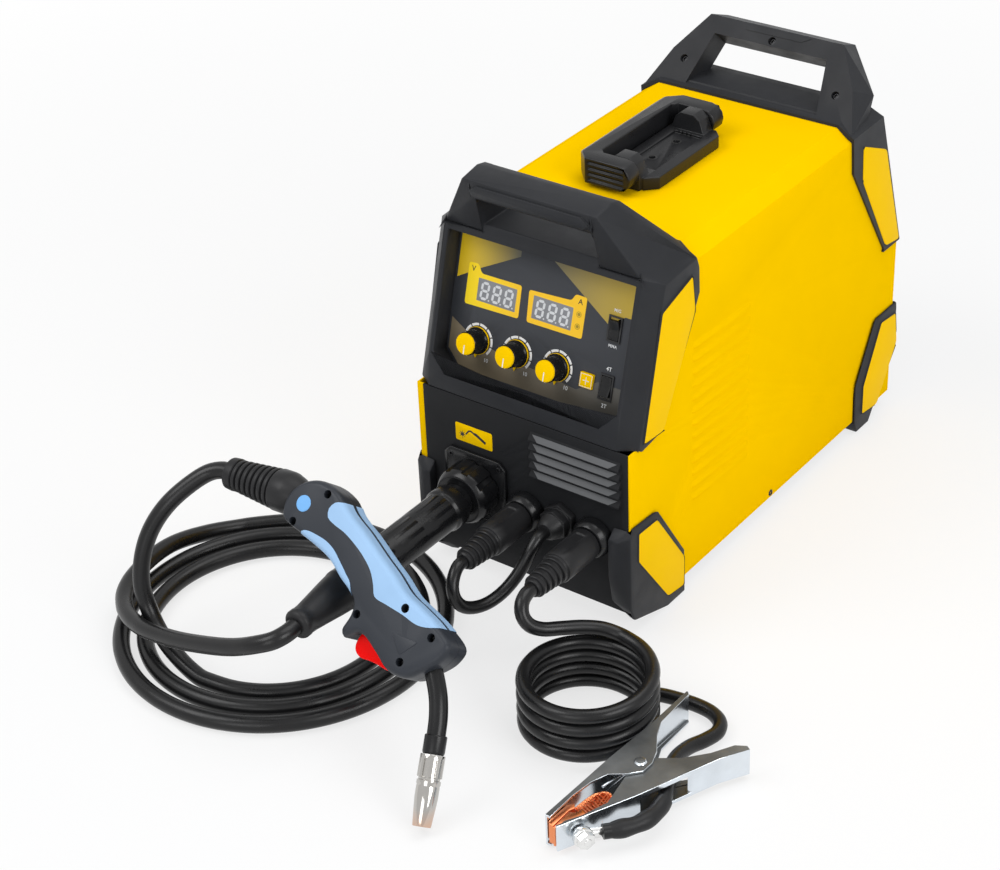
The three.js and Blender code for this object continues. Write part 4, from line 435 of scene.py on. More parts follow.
def boolean(obj, cutters, how):
    """Cuts or keeps a piece with other closed meshes, which are then removed."""
    for c in cutters:
        m = obj.modifiers.new("form", "BOOLEAN")
        m.operation, m.solver, m.object = how, "EXACT", c
    apply(obj)
    for c in cutters:
        bpy.data.objects.remove(c)


def tool(bm, where):
    """A helper object for boolean(), in its final place."""
    return into_scene("form", placed("form", bm, where))


# ---------- cords
EURO = {"x": -44.5, "z": 93, "start": 15.5, "grip_end": 169, "boot_end": 227, "screw": 23.4}
DINSE = {"x": (5, 70), "z": 87, "sleeve_end": 86}
GLAND = {"x": 38, "z": 91, "end": 24}
TORCH_CABLE = {"r": 7, "outer": 140.6, "inner": 90, "x": -141, "y": -146, "from": 140, "to": -806, "z": 7.3}
EARTH_CABLE = {"r": 5.7, "loop": 48.5, "pitch": 12.1, "x": 137, "y": -110, "from": 85, "turns": 4, "z": 6.0}
POLARITY_RADIUS = 5.2


def loop_point(c, t):
    """The share t of a coil's way: flat spiral for the torch cable, stacked loops for the earth cable."""
    if "turns" in c:
        a = math.radians(c["from"] - 360 * c["turns"] * t)
        r, z = c["loop"], c["z"] + c["pitch"] * c["turns"] * (1 - t)
    else:
        a = math.radians(c["from"] + (c["to"] - c["from"]) * t)
        r, z = c["outer"] + (c["inner"] - c["outer"]) * t, c["z"]
    return Vector((c["x"] + r * math.cos(a), c["y"] + r * math.sin(a), z))


def loops(c):
    """A coil's points, 24 to a turn."""
    turns = c.get("turns") or abs(c["to"] - c["from"]) / 360
    count = round(24 * turns)
    return [loop_point(c, i / count) for i in range(count + 1)]


def past_end(c, t, beyond):
    """A point straight on from the coil's start (t = 0) or end (t = 1)."""
    step = 1e-4
    way = (loop_point(c, t + step) - loop_point(c, t - step)).normalized()
    return loop_point(c, t) + way * (beyond if t else -beyond)


BOOT = {"start": (-62, 32.9), "end": (-142.6, 29.6)}
TO_MACHINE = MACHINE.inverted() @ TORCH
boot_end = TO_MACHINE @ Vector((*BOOT["end"], 0))
boot_way = (boot_end - TO_MACHINE @ Vector((*BOOT["start"], 0))).normalized()

TORCH_ROUTE = [
    (EURO["x"], -EURO["boot_end"] - 0.3, EURO["z"]), (-44.7, -237.3, 92.7), (-49, -246.3, 90.6),
    (-61, -252.3, 85.5), (-85, -254, 74), (-121, -252, 60), (-161, -247, 46), (-203, -238, 34.5),
    (-236, -221, 27.5), (-258, -197, 24.4), (-270, -164, 22.6), (-274, -128, 19.8), (-269, -91, 12),
    past_end(TORCH_CABLE, 0, 10), *loops(TORCH_CABLE), past_end(TORCH_CABLE, 1, 8), (-154, -235, 9.4),
    (-168, -232.5, 13), (-184, -228.5, 18.5), (-200, -223, 27), (-210, -219.5, 39), (-216, -217.5, 56),
    (-218, -211, 78), (-215, -201, 100), (-206, -188.5, 120), (-194, -172.5, 135), (-183, -161, 143.5),
    boot_end + boot_way * 8, boot_end + boot_way * 0.3,
]
EARTH_ROUTE = [
    (DINSE["x"][1], -DINSE["sleeve_end"] - 0.3, DINSE["z"]),
    (DINSE["x"][1], -DINSE["sleeve_end"] - 6.3, DINSE["z"]), (71.5, -101, 83.6), (75.5, -106, 76.5),
    (81, -105, 69.5), (88, -98.5, 64.6), (97, -87.5, 62.3), (109, -75, 60.6), (121, -65.5, 58),
    past_end(EARTH_CABLE, 0, 8), *loops(EARTH_CABLE), past_end(EARTH_CABLE, 1, 10), (164, -55, 6.2),
    (181, -51, 6.2), (197, -49.5, 6.2), (210.5, -51.3, 6.2), (220.6, -57.6, 6.2), (225, -68, 6.4),
    (223, -82, 7.6), (218.8, -98, 10), (219, -115, 12.8), (224, -132, 14.8), (232, -148, 15),
    (238.5, -163, 15), (240.5, -180, 15), (236.5, -194, 15), (228.5, -205.5, 15), (220.6, -214.2, 15),
]
POLARITY_ROUTE = [
    (GLAND["x"], -GLAND["end"] - 0.3, GLAND["z"]), (GLAND["x"], -GLAND["end"] - 7.3, GLAND["z"]),
    (37.5, -39.5, 85.5), (35.5, -48, 75), (32.5, -58, 64.5), (28.5, -70, 56.5), (24, -83, 53),
    (19.5, -95, 54.5), (15.5, -104, 60), (12, -107.5, 68), (9, -106, 76.5), (6.5, -100, 83),
    (DINSE["x"][0], -DINSE["sleeve_end"] - 6.3, DINSE["z"]),
    (DINSE["x"][0], -DINSE["sleeve_end"] - 0.3, DINSE["z"]),
]


def cord(name, route, radius, nodes):
    """One open curve through the route, as a round cable."""
    line = [MACHINE @ p for p in smooth_line(route, 3)]
    data = bpy.data.curves.new(name, "CURVE")
    data.dimensions = "3D"
    data.bevel_depth, data.bevel_resolution, data.use_fill_caps = radius * MM, 5, True
    spline = data.splines.new("POLY")
    spline.points.add(len(line) - 1)
    for point, p in zip(spline.points, line):
        point.co = (*p, 1)
    spline.use_smooth = True
    data.materials.append(CABLE)
    obj = into_scene(name, data)
    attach(obj, "machine")
    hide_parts(*nodes)
    length = sum((b - a).length for a, b in zip(line, line[1:]))
    return obj, line, length


def dinse_plug(name, x, cable, node):
    """Bayonet plug body with two flats and a ribbed rubber sleeve."""
    start, neck, long = 13.3, 40.7, 72.7
    ribs = []
    for i in range(5):
        t = neck + 1 + 6 * i
        r = 11.8 - 3.2 * (t - neck) / (long - neck)
        ribs += [(r - 0.4, t), (r, t + 0.5), (r, t + 3.0), (r - 0.5, t + 3.6), (r - 1.7, t + 3.9),
                 (r - 1.8, t + 5.7)]
    profile = [(0, 0), (12.4, 0), (13.2, 0.8), (13.4, 2), (13.4, 7), (13.4, 8), (13.4, 28), (13.4, 29),
               (13.4, 39), (12.8, 40.2), (11.8, 40.7), *ribs, (cable + 1.6, long - 0.4),
               (cable + 1.2, long), (0, long)]
    bm = lathe(profile, (x, -start, DINSE["z"]), FORWARD, 56)
    flat = 12.1
    for v in bm.verts:
        if -start - 28.5 < v.co.y < -start - 7.5:
            v.co.z = DINSE["z"] + max(-flat, min(flat, v.co.z - DINSE["z"]))
    return piece(name, bm, RUBBER, replaces=(node,), sharp=34)


polarity_plug = dinse_plug("polarity_plug_body", DINSE["x"][0], POLARITY_RADIUS, "polarity_plug")
dinse_plug("earth_plug_body", DINSE["x"][1], EARTH_CABLE["r"], "earth_plug")

torch_cord, torch_line, torch_long = cord("torch_cable", TORCH_ROUTE, TORCH_CABLE["r"],
                                          ("torch_cable_lead", "torch_cable_coil", "torch_cable_tail"))
earth_cord, earth_line, earth_long = cord("earth_cable", EARTH_ROUTE, EARTH_CABLE["r"],
                                          ("earth_cable_lead", "earth_cable_coil", "earth_cable_tail"))
polarity_cord, polarity_line, polarity_long = cord("polarity_lead", POLARITY_ROUTE, POLARITY_RADIUS,
                                                   ("polarity_cable",))


# ---------- stage
def seen_directly(tree):
    """One for rays from the camera, also after a mirror or through glass; nought for rays that light."""
    path = add_node(tree, "LightPath")
    total = path.outputs["Is Camera Ray"]
    for ray in ("Is Glossy Ray", "Is Transmission Ray"):
        total = add_node(tree, "Math", {0: total, 1: path.outputs[ray]}, operation="MAXIMUM").outputs[0]
    return total


def lit_and_seen(tree, lit, seen, share, out):
    """Lets the camera see one shader by the share, and the rest of the light meet the other."""
    both = add_node(tree, "MixShader", {0: share, 1: lit.outputs[0], 2: seen.outputs[0]})
    add_node(tree, out, {0: both.outputs[0]})


def stage():
    """Pale floor that keeps a soft shadow, white surroundings for the camera, even studio lamps."""
    bpy.ops.mesh.primitive_plane_add(size=24, location=(0, 0, -0.0005))
    floor = bpy.context.object
    floor.name = "floor"
    m = bpy.data.materials.new("floor")
    world = bpy.data.worlds.new("surroundings")
    for owner in (m, world):
        owner.use_nodes = True
        owner.node_tree.nodes.clear()

    tree = m.node_tree
    distance = add_node(tree, "VectorMath", {0: object_place(tree)}, operation="LENGTH")
    near, far = {"From Min": 0.5, "To Min": 0.72}, {"From Max": 1.5, "To Max": 1.0}
    fade = add_node(tree, "MapRange", {**near, **far, "Value": distance.outputs["Value"]})
    share = add_node(tree, "Math", {0: seen_directly(tree), 1: fade.outputs["Result"]}, operation="MULTIPLY")
    lit_and_seen(tree, add_node(tree, "BsdfDiffuse", {"Color": (0.86, 0.86, 0.86, 1)}),
                 add_node(tree, "Emission", {"Strength": 1.0}), share.outputs[0], "OutputMaterial")
    floor.data.materials.append(m)

    bpy.context.scene.world = world
    tree = world.node_tree
    lit_and_seen(tree, add_node(tree, "Background", {"Color": (0.96, 0.98, 1.0, 1), "Strength": 0.36}),
                 add_node(tree, "Background", {"Strength": 1.0}), seen_directly(tree), "OutputWorld")

    aim = Vector((0, 0.02, 0.12))
    for name, spot, size, power in (("key", (-1.3, -1.5, 2.4), 1.6, 34), ("right", (2.4, -0.7, 1.5), 1.4, 30),
                                    ("top", (0.3, 0.6, 2.6), 1.8, 24), ("front", (0.4, -2.6, 0.9), 1.2, 10)):
        lamp = bpy.data.lights.new(name, "AREA")
        lamp.energy, lamp.size = power, size
        obj = into_scene(name, lamp)
        obj.location = spot
        obj.rotation_euler = (aim - Vector(spot)).to_track_quat("-Z", "Y").to_euler()
    bpy.context.scene.view_settings.view_transform = "Standard"


stage()


# ---------- enclosure
def enclosure():
    dress("main_cover", PAINT, 0.35)
    dress("spool_door", PAINT, 0.3)
    dress("front_bezel", BLACK, 1.3, segments=3)
    dress("lift_handle", HANDLE_BLACK, 1.2, segments=3)
    dress("lift_handle_base", HANDLE_BLACK, 0.7, segments=3)
    dress("rear_bezel", BLACK, 0, sharp=9)
    for end in ("front", "rear"):
        for side in ("left", "right"):
            dress(f"{end}_foot_{side}", BLACK, 1.2, segments=3)
    dress("front_panel", SHEET, 0.25)
    dress("rear_panel", SHEET, 0.25)
    dress("display_panel", FILM, 0.1)
    dress("euro_socket", CONNECTOR, 0.5)
    for node in ("cable_gland", "mains_gland"):
        dress(node, RUBBER, 0.5)
    for node in ("gas_inlet", "drive_roll", "pressure_arm"):
        dress(node, BRIGHT, 0.3)
    dress("power_rocker", CONNECTOR, 0.4)
    for node in ("process_rocker", "trigger_mode_rocker"):
        dress(node, CONNECTOR, 0.35)
    dress("wire_feed_button", YELLOW, 0.5)


INSERTS = {
    "front_bezel_trim": [(83.5, 289), (41.4, 276.4), (15.6, 174.6), (43.4, 172.4), (87.6, 257.6)],
    "rear_bezel_trim": [(348.7, 287.4), (389.4, 268.7), (394.4, 252.3), (421.4, 170.3), (397.6, 173.7),
                        (350.2, 255.1)],
    "front_foot_trim": [(34, 95), (8, 96), (7.5, 70), (50, 11), (74, 8), (74, 36)],
    "rear_foot_trim": [(397, 96.6), (424, 94), (429, 62), (397, 12.6), (369, 16), (369, 45)],
}


def trim():
    """The yellow fields moulded into bezels and feet, with softened rims."""
    for name, outline in INSERTS.items():
        for side, word in ((1, "right"), (-1, "left")):
            bm = pillow(rounded(inset(outline, -0.3), 4.5, 6), 103.2, 105.3, 0.8, 0.8, 4)
            if side < 0:
                mirrored(bm)
            piece(f"{name}_{word}", bm, YELLOW, where=MACHINE @ SIDEWAYS)


def side_louvres():
    """Pressed hoods over the cooling slots of the right side."""
    front, back, top, pitch, droop, count = 92, 172, 222, 11.7, 4, 13
    hood = ((0, 5.4), (0.55, 3.6), (1, 1.4), (1.05, 0.2), (0.75, 0), (0, 0.4))   # share of the rise, height
    bm = bmesh.new()
    for i in range(count):
        rings = []
        for y, rise in ((front - 3, 0.05), (front + 1, 1.5), (back - 1, 1.5), (back + 3, 0.05)):
            low = top - i * pitch - droop * (y - front) / (back - front) - 0.4
            rings.append([bm.verts.new((COVER_HALF + a * rise - 0.1, y, low + b)) for a, b in hood])
        skin(bm, rings)
    piece("side_louvre_hoods", bm, PAINT, sharp=50)


def front_louvres():
    """Paler grey faces on the front panel's slats, pointed at both ends: a painted highlight on the black sheet.
    """
    left, right, top, pitch, drop, proud, thick = 10, 94.4, 162.5, 8.4, 6, 4.4, 0.12
    bm = bmesh.new()
    for i in range(5):
        z = top - i * pitch
        face = [(left + 2.5, -1.5, z - 1.6), (left + 9, -proud - 0.15, z - drop + 0.3),
                (right - 9, -proud - 0.15, z - drop + 0.3), (right - 2.5, -1.5, z - 1.6)]
        skin(bm, [[bm.verts.new((x, y - t, z + t)) for x, y, z in face] for t in (0, thick)])
    piece("front_louvre_faces", bm, LOUVRE_HIGHLIGHT, slot="black_sheet")


def screw(bm, spot, direction, radius):
    """Button head with a round-cornered recess, its seat at the spot."""
    r = radius
    return lathe([(0, -2), (r, -2), (r, 0.2), (r * 0.9, 0.7), (r * 0.5 + 0.2, 0.9), (r * 0.5, 0.8),
                  (r * 0.5, -0.6), (0, -0.6)], spot, direction, 24, bm=bm)


def fasteners():
    up_arch, into_arch = Vector((0, 0.661, 0.75)), Vector((0, 0.75, -0.661))
    arch_foot, sunk = Vector((0, 332.5, 303.2)), 3.4
    bm = bmesh.new()
    for x, up in ((-73.8, 29.5), (73.8, 29.5), (0, 61.8)):
        screw(bm, arch_foot + Vector((x, 0, 0)) + up_arch * up + into_arch * sunk, -into_arch, 3.4)
    piece("arch_screws", bm, DARK_STEEL, slot="plated_steel", sharp=50)

    bm = bmesh.new()
    for side, places in ((COVER_HALF, ((215, 17),)), (-COVER_HALF, ((60, 17), (350, 17)))):
        for y, z in places:
            screw(bm, (side, y, z), (side, 0, 0), 2.9)
    back, knee, lean = 423.8, 169, math.radians(17.7)
    low, high = 30, 280
    for x in (-88, 88):
        screw(bm, (x, back, low), (0, 1, 0), 2.6)
        screw(bm, (x, back - (high - knee) * math.tan(lean), high), (0, math.cos(lean), math.sin(lean)), 2.6)
    piece("case_screws", bm, DARK_STEEL, slot="plated_steel", sharp=50)

    bm = bmesh.new()
    for i in (-1, 1):
        for j in (-1, 1):
            screw(bm, (EURO["x"] + EURO["screw"] * i, -3.0, EURO["z"] + EURO["screw"] * j), FORWARD, 2.3)
    piece("flange_screws", bm, DARK_STEEL, slot="plated_steel", sharp=50)

    # the dark ring on the trough floor round each screw hole is painted shade standing in for the recess; the
    # discs lower down are the screw heads
    recess_shade, head = [(2.9, 0), (4.2, 0), (4.2, 0.3), (2.9, 0.3)], disc(2.8, 0, 1.2)
    bm = bmesh.new()
    for x, y in ((-1.5, 191), (-0.8, 226)):
        lathe(recess_shade, (x, y, 315.6), sides=24, bm=bm)
        lathe(head, (x, y, 310.2), sides=24, bm=bm)
    piece("base_screws_and_recess_shade", bm, BLACK_PRINT_AND_SHADE, slot="plated_steel", sharp=50)


enclosure()
trim()
side_louvres()
front_louvres()
fasteners()


# ---------- control panel, in the face's place
SHEET_TOP = -18.3
KNOB_X, KNOB_V = (-58, -20, 18.5), 28.5


def printed(name, outlines, finish, level):
    """Flat fields as thin print, their underside `level` above the sheet."""
    bm = bmesh.new()
    for outline in outlines:
        prism(outline, SHEET_TOP + level, SHEET_TOP + level + 0.07, bm)
    return piece(name, bm, finish, slot="display_print", where=FACE)


def lettering(name, words, finish, level):
    """Generic marks as thin raised print: (text, x, v, height)."""
    bm = bmesh.new()
    for text, x, v, high in words:
        data = bpy.data.curves.new("letters", "FONT")
        data.body, data.size, data.align_x, data.align_y = text, high / 0.7, "CENTER", "CENTER"
        data.extrude, data.offset = 0.03, 0.012 * high
        obj = into_scene("letters", data)
        shaped = obj.evaluated_get(bpy.context.evaluated_depsgraph_get())
        mesh = bpy.data.meshes.new_from_object(shaped)
        mesh.transform(Matrix.Translation((x, v, SHEET_TOP + level)))
        bm.from_mesh(mesh)
        bpy.data.objects.remove(obj)
    bmesh.ops.remove_doubles(bm, verts=bm.verts, dist=1e-4)
    return piece(name, bm, finish, slot="display_print", where=FACE)


def arc_band(x, v, inner, outer, a0, a1, steps):
    """A stretch of a ring round (x, v), between two angles."""
    angles = [math.radians(a0 + (a1 - a0) * k / steps) for k in range(steps + 1)]
    return ([(x + outer * math.cos(a), v + outer * math.sin(a)) for a in angles]
            + [(x + inner * math.cos(a), v + inner * math.sin(a)) for a in reversed(angles)])


def seven_segments(x, v, wide, high, thick):
    """The seven bars of one digit, leaning slightly."""
    bars = []
    half, rise = wide / 2, high / 2

    def bar(x0, y0, x1, y1):
        d = Vector((x1 - x0, y1 - y0)).normalized()
        n = Vector((-d.y, d.x)) * thick / 2
        a, b = Vector((x0, y0)) + d * 0.35, Vector((x1, y1)) - d * 0.35
        e = d * thick / 2
        pts = [a, a + e + n, b - e + n, b, b - e - n, a + e - n]
        bars.append([(x + p.x + 0.09 * p.y, v + p.y) for p in pts])

    for y in (-rise, 0, rise):
        bar(-half, y, half, y)
    for sx in (-half, half):
        bar(sx, -rise, sx, 0)
        bar(sx, 0, sx, rise)
    return bars


def torch_symbol(x, z, k):
    """Plain picture of a welding torch: spark, bent neck and handle."""
    tips = [(1.0 if i % 2 else 3.0, i * math.pi / 8) for i in range(16)]
    star = [(r * math.cos(a) - 7.6, r * math.sin(a) - 1.2) for r, a in tips]
    neck = [(-5.2, -0.2), (-4.4, -0.9), (-2.2, 2.0), (-0.8, 2.4), (1.4, 1.4), (2.0, 2.4), (-0.4, 3.7),
            (-2.6, 3.2)]
    grip = [(1.2, 1.3), (2.0, 2.9), (4.2, 2.5), (11.2, -1.6), (10.4, -3.4), (3.4, 0.4)]
    return [[(x + a * k, z + b * k) for a, b in shape] for shape in (star, neck, grip)]


def faded(name, rough, left, right, low, high):
    """Print whose colour runs from low at x = left to high at x = right."""
    return gradient(material(name, low, rough, bump=0.01), 0, at(left, 0, 0).x, at(right, 0, 0).x, low, high)


def print_fields():
    olive = faded("print_olive", 0.38, -86, -30, (0.86, 0.58, 0.01), (0.10, 0.095, 0.06))
    gold = faded("print_gold", 0.38, 0, 86, (0.15, 0.135, 0.08), (0.60, 0.41, 0.03))
    brown = faded("print_brown", 0.38, -86, 60, (0.20, 0.16, 0.10), (0.085, 0.08, 0.07))
    amber = faded("print_amber", 0.36, -76, -24, (0.98, 0.72, 0.0), (0.95, 0.56, 0.01))
    left = [(-85.6, 113), (-28.4, 113), (-28.4, 105), (-62.6, 87.3), (-85.6, 74)]
    right = [(-2.7, 113), (85.6, 113), (85.6, 83.7), (72.2, 83.7), (57.6, 74.6)]
    low = [(-85.6, 41), (-70.9, 33.2), (-40, 24), (37.8, 16), (56.2, 27.4), (85.6, 27.4), (85.6, 15.4),
           (72, 1.8), (-72, 1.8), (-85.6, 15.4)]
    volt = [(-75.5, 88.8), (-66.6, 89.3), (-62.5, 82.3), (-23.9, 82.8), (-23.6, 56), (-75.6, 54.8)]
    amp = [(-16.7, 81.6), (22.6, 83.8), (25.9, 89.6), (36.5, 89.4), (36.4, 56.3), (-15.5, 55.8)]
    printed("print_field_left", [left], olive, 0.02)
    printed("print_field_right", [right], gold, 0.02)
    printed("print_field_low", [low], brown, 0.02)
    printed("meter_frames", [rounded(volt, 2.2), rounded(amp, 2.2)], amber, 0.10)


def meters():
    """Two windows with three digits and their points each."""
    windows = bmesh.new()
    segments = []
    for x in (-46.2, 6.8):
        prism(rounded(rect(x - 18.6, x + 18.6, 60.0, 78.6), 0.6), SHEET_TOP - 0.5, SHEET_TOP + 0.22, windows)
        for digit in (x - 11.4, x, x + 11.4):
            segments += seven_segments(digit, 69.2, 6.2, 12.8, 2.1)
            segments.append(arc_band(digit + 4.4, 62.4, 0.01, 0.7, 0, 360, 10))
    piece("meter_windows", windows, LCD, slot="display_print", where=FACE, bevel=0.15)
    printed("meter_segments", segments, SEGMENT, 0.24)


def panel_marks():
    """Dial scales with plain numbers, function words, meter letters and two small lamps."""
    turns = [228 - 34.5 * i for i in range(8)]
    printed("dial_scales", [arc_band(x, KNOB_V, 12.0, 14.0, a, a - 30, 10) for x in KNOB_X for a in turns],
            WHITE_PRINT, 0.12)
    numbers = [(text, x + away, 14.2, 3.1) for text, away in (("10", 9.6), ("0", -9.6)) for x in KNOB_X]
    words = (("MIG", 87.0, 2.5), ("MMA", 58.6, 2.5), ("4T", 40.2, 3.2), ("2T", 10.4, 3.2))
    by_rockers = [(text, 64.6, v, high) for text, v, high in words]
    lettering("white_marks", numbers + by_rockers, WHITE_PRINT, 0.16)
    lettering("meter_marks", [("V", -70.7, 84.4, 4.4), ("A", 31.0, 84.6, 4.4)], BLACK_PRINT_AND_SHADE, 0.22)
    ring, dot = (1.9, 2.3, 0, 359.5, 20), (0.01, 1.3, 0, 359.5, 16)
    lamps = [arc_band(31, v, *band) for band in (ring, dot) for v in (74.7, 65)]
    printed("process_lamps", lamps, material("print_lamp", (0.35, 0.24, 0.01), 0.4, bump=0.01), 0.22)


def button_mark():
    """A square with a cross, on the wire-feed button."""
    x, v, top = 46.7, 26, SHEET_TOP + 2.0
    half, line, arm, thin = 5.3, 0.35, 3, 0.25
    inner = half - line
    bars = [(-half, half, -half, -inner), (-half, half, inner, half), (-half, -inner, -inner, inner),
            (inner, half, -inner, inner), (-arm, arm, -thin, thin), (-thin, thin, thin, arm),
            (-thin, thin, -arm, -thin)]
    bm = bmesh.new()
    for x0, x1, v0, v1 in bars:
        prism(rect(x + x0, x + x1, v + v0, v + v1), top - 0.1, top + 0.08, bm)
    piece("button_mark", bm, WHITE_PRINT, body="wire_feed_button_body", slot="display_print", where=FACE)


def knobs():
    """Black knobs with a yellow cap, a white pointer line and a yellow ring and tip at the skirt."""
    lift = SHEET_TOP + 0.6
    for name, x in zip(("voltage", "current", "inductance"), KNOB_X):
        body = f"knob_{name}_body"
        spot, out = (x, KNOB_V, lift), (0, 0, 1)

        def grip(a, r, t):
            return r - 0.28 * max(0.0, math.cos(24 * a)) ** 2 if 4 < t < 15.5 and r > 9 else r

        core = lathe([(0, 0.1), (11.0, 0.1), (11.0, 2.0), (10.3, 3.0), (9.75, 3.6), (9.6, 5), (9.45, 14.6),
                      (9.3, 15.6), (8.9, 16.1), (0, 16.1)], spot, out, 96, grip)
        piece(f"knob_{name}_grip", core, CONNECTOR, body, "yellow_plastic", (f"knob_{name}",), FACE, sharp=46)
        cap = lathe([(0, 15.9), (8.75, 15.9), (8.75, 17.2), (8.3, 17.8), (7.6, 18.0), (0, 17.95)], spot, out)
        lathe([(10.98, 0.3), (11.35, 0.3), (11.35, 1.5), (10.98, 1.5)], spot, out, 48, bm=cap)
        tip = [(x - 1.7, KNOB_V - 10.6), (x, KNOB_V - 14.2), (x + 1.7, KNOB_V - 10.6)]
        prism(tip, lift + 0.3, lift + 1.4, cap)
        piece(f"knob_{name}_cap", cap, YELLOW, body, "yellow_plastic", (), FACE, sharp=50)
        line = prism(rect(x - 0.42, x + 0.42, KNOB_V - 8.2, KNOB_V - 0.8), lift + 17.9, lift + 18.12)
        piece(f"knob_{name}_pointer", line, WHITE_PRINT, body, "display_print", (), FACE)


def front_label():
    sunk = 0.05
    plate = pillow(rounded(rect(-64.4, -28.2, 129.7, 146), 1.6), -sunk, 0.35, 0.1, 0.1, 2)
    piece("torch_label", plate, YELLOW, where=MACHINE @ FRONTWAYS)
    bm = bmesh.new()
    for shape in torch_symbol(-48.2, 138.0, 1.25):
        prism(shape, 0.3, 0.42, bm)
    piece("torch_label_mark", bm, BLACK_PRINT_AND_SHADE, slot="display_print", where=MACHINE @ FRONTWAYS)


print_fields()
meters()
panel_marks()
button_mark()
knobs()
front_label()


# ---------- sockets and plugs
def connectors():
    def flute(a, r, t):
        return r - 1.9 * min(1.0, max(0.0, 3 * math.cos(9 * a) - 1.2)) if r > 22.5 and t < 19 else r

    nut = lathe([(19, 0), (23, 0), (24.1, 0.8), (24.5, 2), (24.5, 16.5), (24.3, 17.8), (23.4, 19.4),
                 (21.6, 22.4), (20.8, 23), (19.8, 23.2), (14.8, 23.2), (14.8, 13.4), (19, 13.4)],
                (EURO["x"], -3.8, EURO["z"]), FORWARD, 144, flute)
    piece("euro_nut_grip", nut, CONNECTOR, replaces=("euro_plug_nut",), sharp=46)
    body = lathe([(0, 0), (16.5, 0), (16.5, 1.4), (14.5, 1.4), (14.5, 17), (15.2, 17.8), (17.6, 19),
                  (18.2, 20), (18.2, 31), (17.9, 31.8), (16.9, 33), (16.6, 34), (16.6, 152), (16.2, 153.3),
                  (15.8, 153.5), (0, 153.5)], (EURO["x"], -EURO["start"], EURO["z"]), FORWARD, 64)
    piece("euro_body_shell", body, CONNECTOR, replaces=("euro_plug_body",), sharp=40)
    bars = bmesh.new()
    corners, long, proud = ((-1, -1), (1, -1), (1, 1), (-1, 1)), 14, 0.5
    for turn in range(-58, 73, 26):
        a = math.radians(90 - turn)
        out = Vector((math.cos(a), 0, math.sin(a)))
        wide = Vector((-out.z, 0, out.x)) * 1.5
        for y in (-64, -100, -136):
            foot = Vector((EURO["x"], y, EURO["z"])) + out * 16.3
            skin(bars, [[bars.verts.new(foot + wide * i + Vector((0, j * long, 0)) + out * h)
                         for i, j in corners] for h in (0, proud)])
    piece("euro_body_ribs", bars, CONNECTOR, bevel=0.3)
    boot = lathe([(0, 0), (16.4, 0), (16.9, 0.6), (16.9, 4), (16.4, 5), (16.0, 10), (15.3, 16), (13.2, 32),
                  (11.7, 44), (11.5, 50), (11.9, 50.6), (11.9, 54.4), (11.4, 55.6), (9.6, 57.2), (8.2, 57.7),
                  (0, 57.7)], (EURO["x"], -EURO["grip_end"] - 0.3, EURO["z"]), FORWARD, 56)
    piece("euro_boot_rubber", boot, RUBBER, replaces=("euro_plug_boot",), sharp=40)
    for x, node in zip(DINSE["x"], ("positive_socket", "negative_socket")):
        ring = lathe([(0, 0), (11, 0), (11, 12.3), (16.0, 12.3), (16.8, 13), (16.8, 19.4), (16.3, 20.6),
                      (14.9, 24.2), (14.2, 24.9), (13.4, 25), (9, 25), (9, 16), (0, 16)],
                     (x, 12, DINSE["z"]), FORWARD, 56)
        piece(node + "_ring", ring, CONNECTOR, replaces=(node,), sharp=36)


connectors()


# ---------- torch, in its own place
HANDLE = [(-54.7, 49.8), (-44.9, 50), (-30.5, 45.6), (-18.8, 36.3), (0.3, 26.7), (20.1, 15.4), (35.9, 7),
          (52.4, -3.1), (69.2, -8.9), (87.5, -16.1), (103.8, -26.7), (101.3, -38.2), (89.2, -51.4),
          (77.3, -60.6), (61.1, -60.8), (45, -51.5), (30, -43.8), (23.5, -44.5), (15.4, -51), (11.6, -46.5),
          (14.4, -33.7), (13.4, -25), (7, -18.4), (-5.5, -11.4), (-19.6, -2.2), (-37.3, 3.8), (-51.3, 7.2),
          (-65.4, 10.6), (-73.4, 14.1), (-76.4, 25.3), (-73.2, 36.6), (-65, 45.5)]
HANDLE_HALF, HANDLE_ROUND = 15.5, (4.2, 6.5)     # half the thickness; its rounding, inwards and down
PAD_PROUD = 0.45
LONG_PAD = [(-23.5, 41.4), (-31, 38.6), (-34.4, 33), (-32.6, 26.6), (-26, 23.6), (-14, 20.6), (-2, 15.6),
            (9, 9.6), (19.5, 1.6), (26, -7), (30.5, -14.4), (43, -16.6), (58, -18.6), (74, -21.5),
            (88, -18.2), (94, -14), (72, 2), (40, 16), (2, 36), (-16, 45)]
SHORT_PAD = [(-50.9, 9.6), (-46.4, 11.6), (-36, 11.2), (-27, 9.8), (-18, 6.2), (-8, -1), (0, -7.2),
             (6.2, -12.4), (8.8, -22), (2, -26), (-22, -10), (-40, -3), (-53, 1)]
PAD_SCREW = (58.7, -13.6)
TORCH_SCREWS = [(-40.3, 42.4), (-61.8, 14), (21, -31.4), PAD_SCREW, (87.7, -26), (70, -51)]
NECK_ROUTE = [(72, -26, 0), (79.5, -35, 0), (86.5, -44, 0), (94.5, -54, 0), (101.8, -65, 0),
              (107.4, -77.5, 0), (111.6, -92, 0)]
NOZZLE_DIR = Vector((0.228, -0.974, 0))
NECK_START = Vector((111.1, -90, 0))


def along_nozzle(t):
    return NECK_START + NOZZLE_DIR * t


TRIGGER = [(22.4, -51.5), (26.6, -41), (36, -41.2), (46, -45.2), (57.6, -52.6), (60.5, -60.6), (54, -61.4),
           (46, -60.4), (38.5, -60.2), (30, -60.6), (24.2, -57.4)]
TRIGGER_WELL = [(20.6, -50), (24, -34.5), (38, -34), (50, -37), (61, -43), (65, -64), (21, -66)]
BADGE = [(55.2, -33.2), (79.2, -33.0), (67.4, -47)]


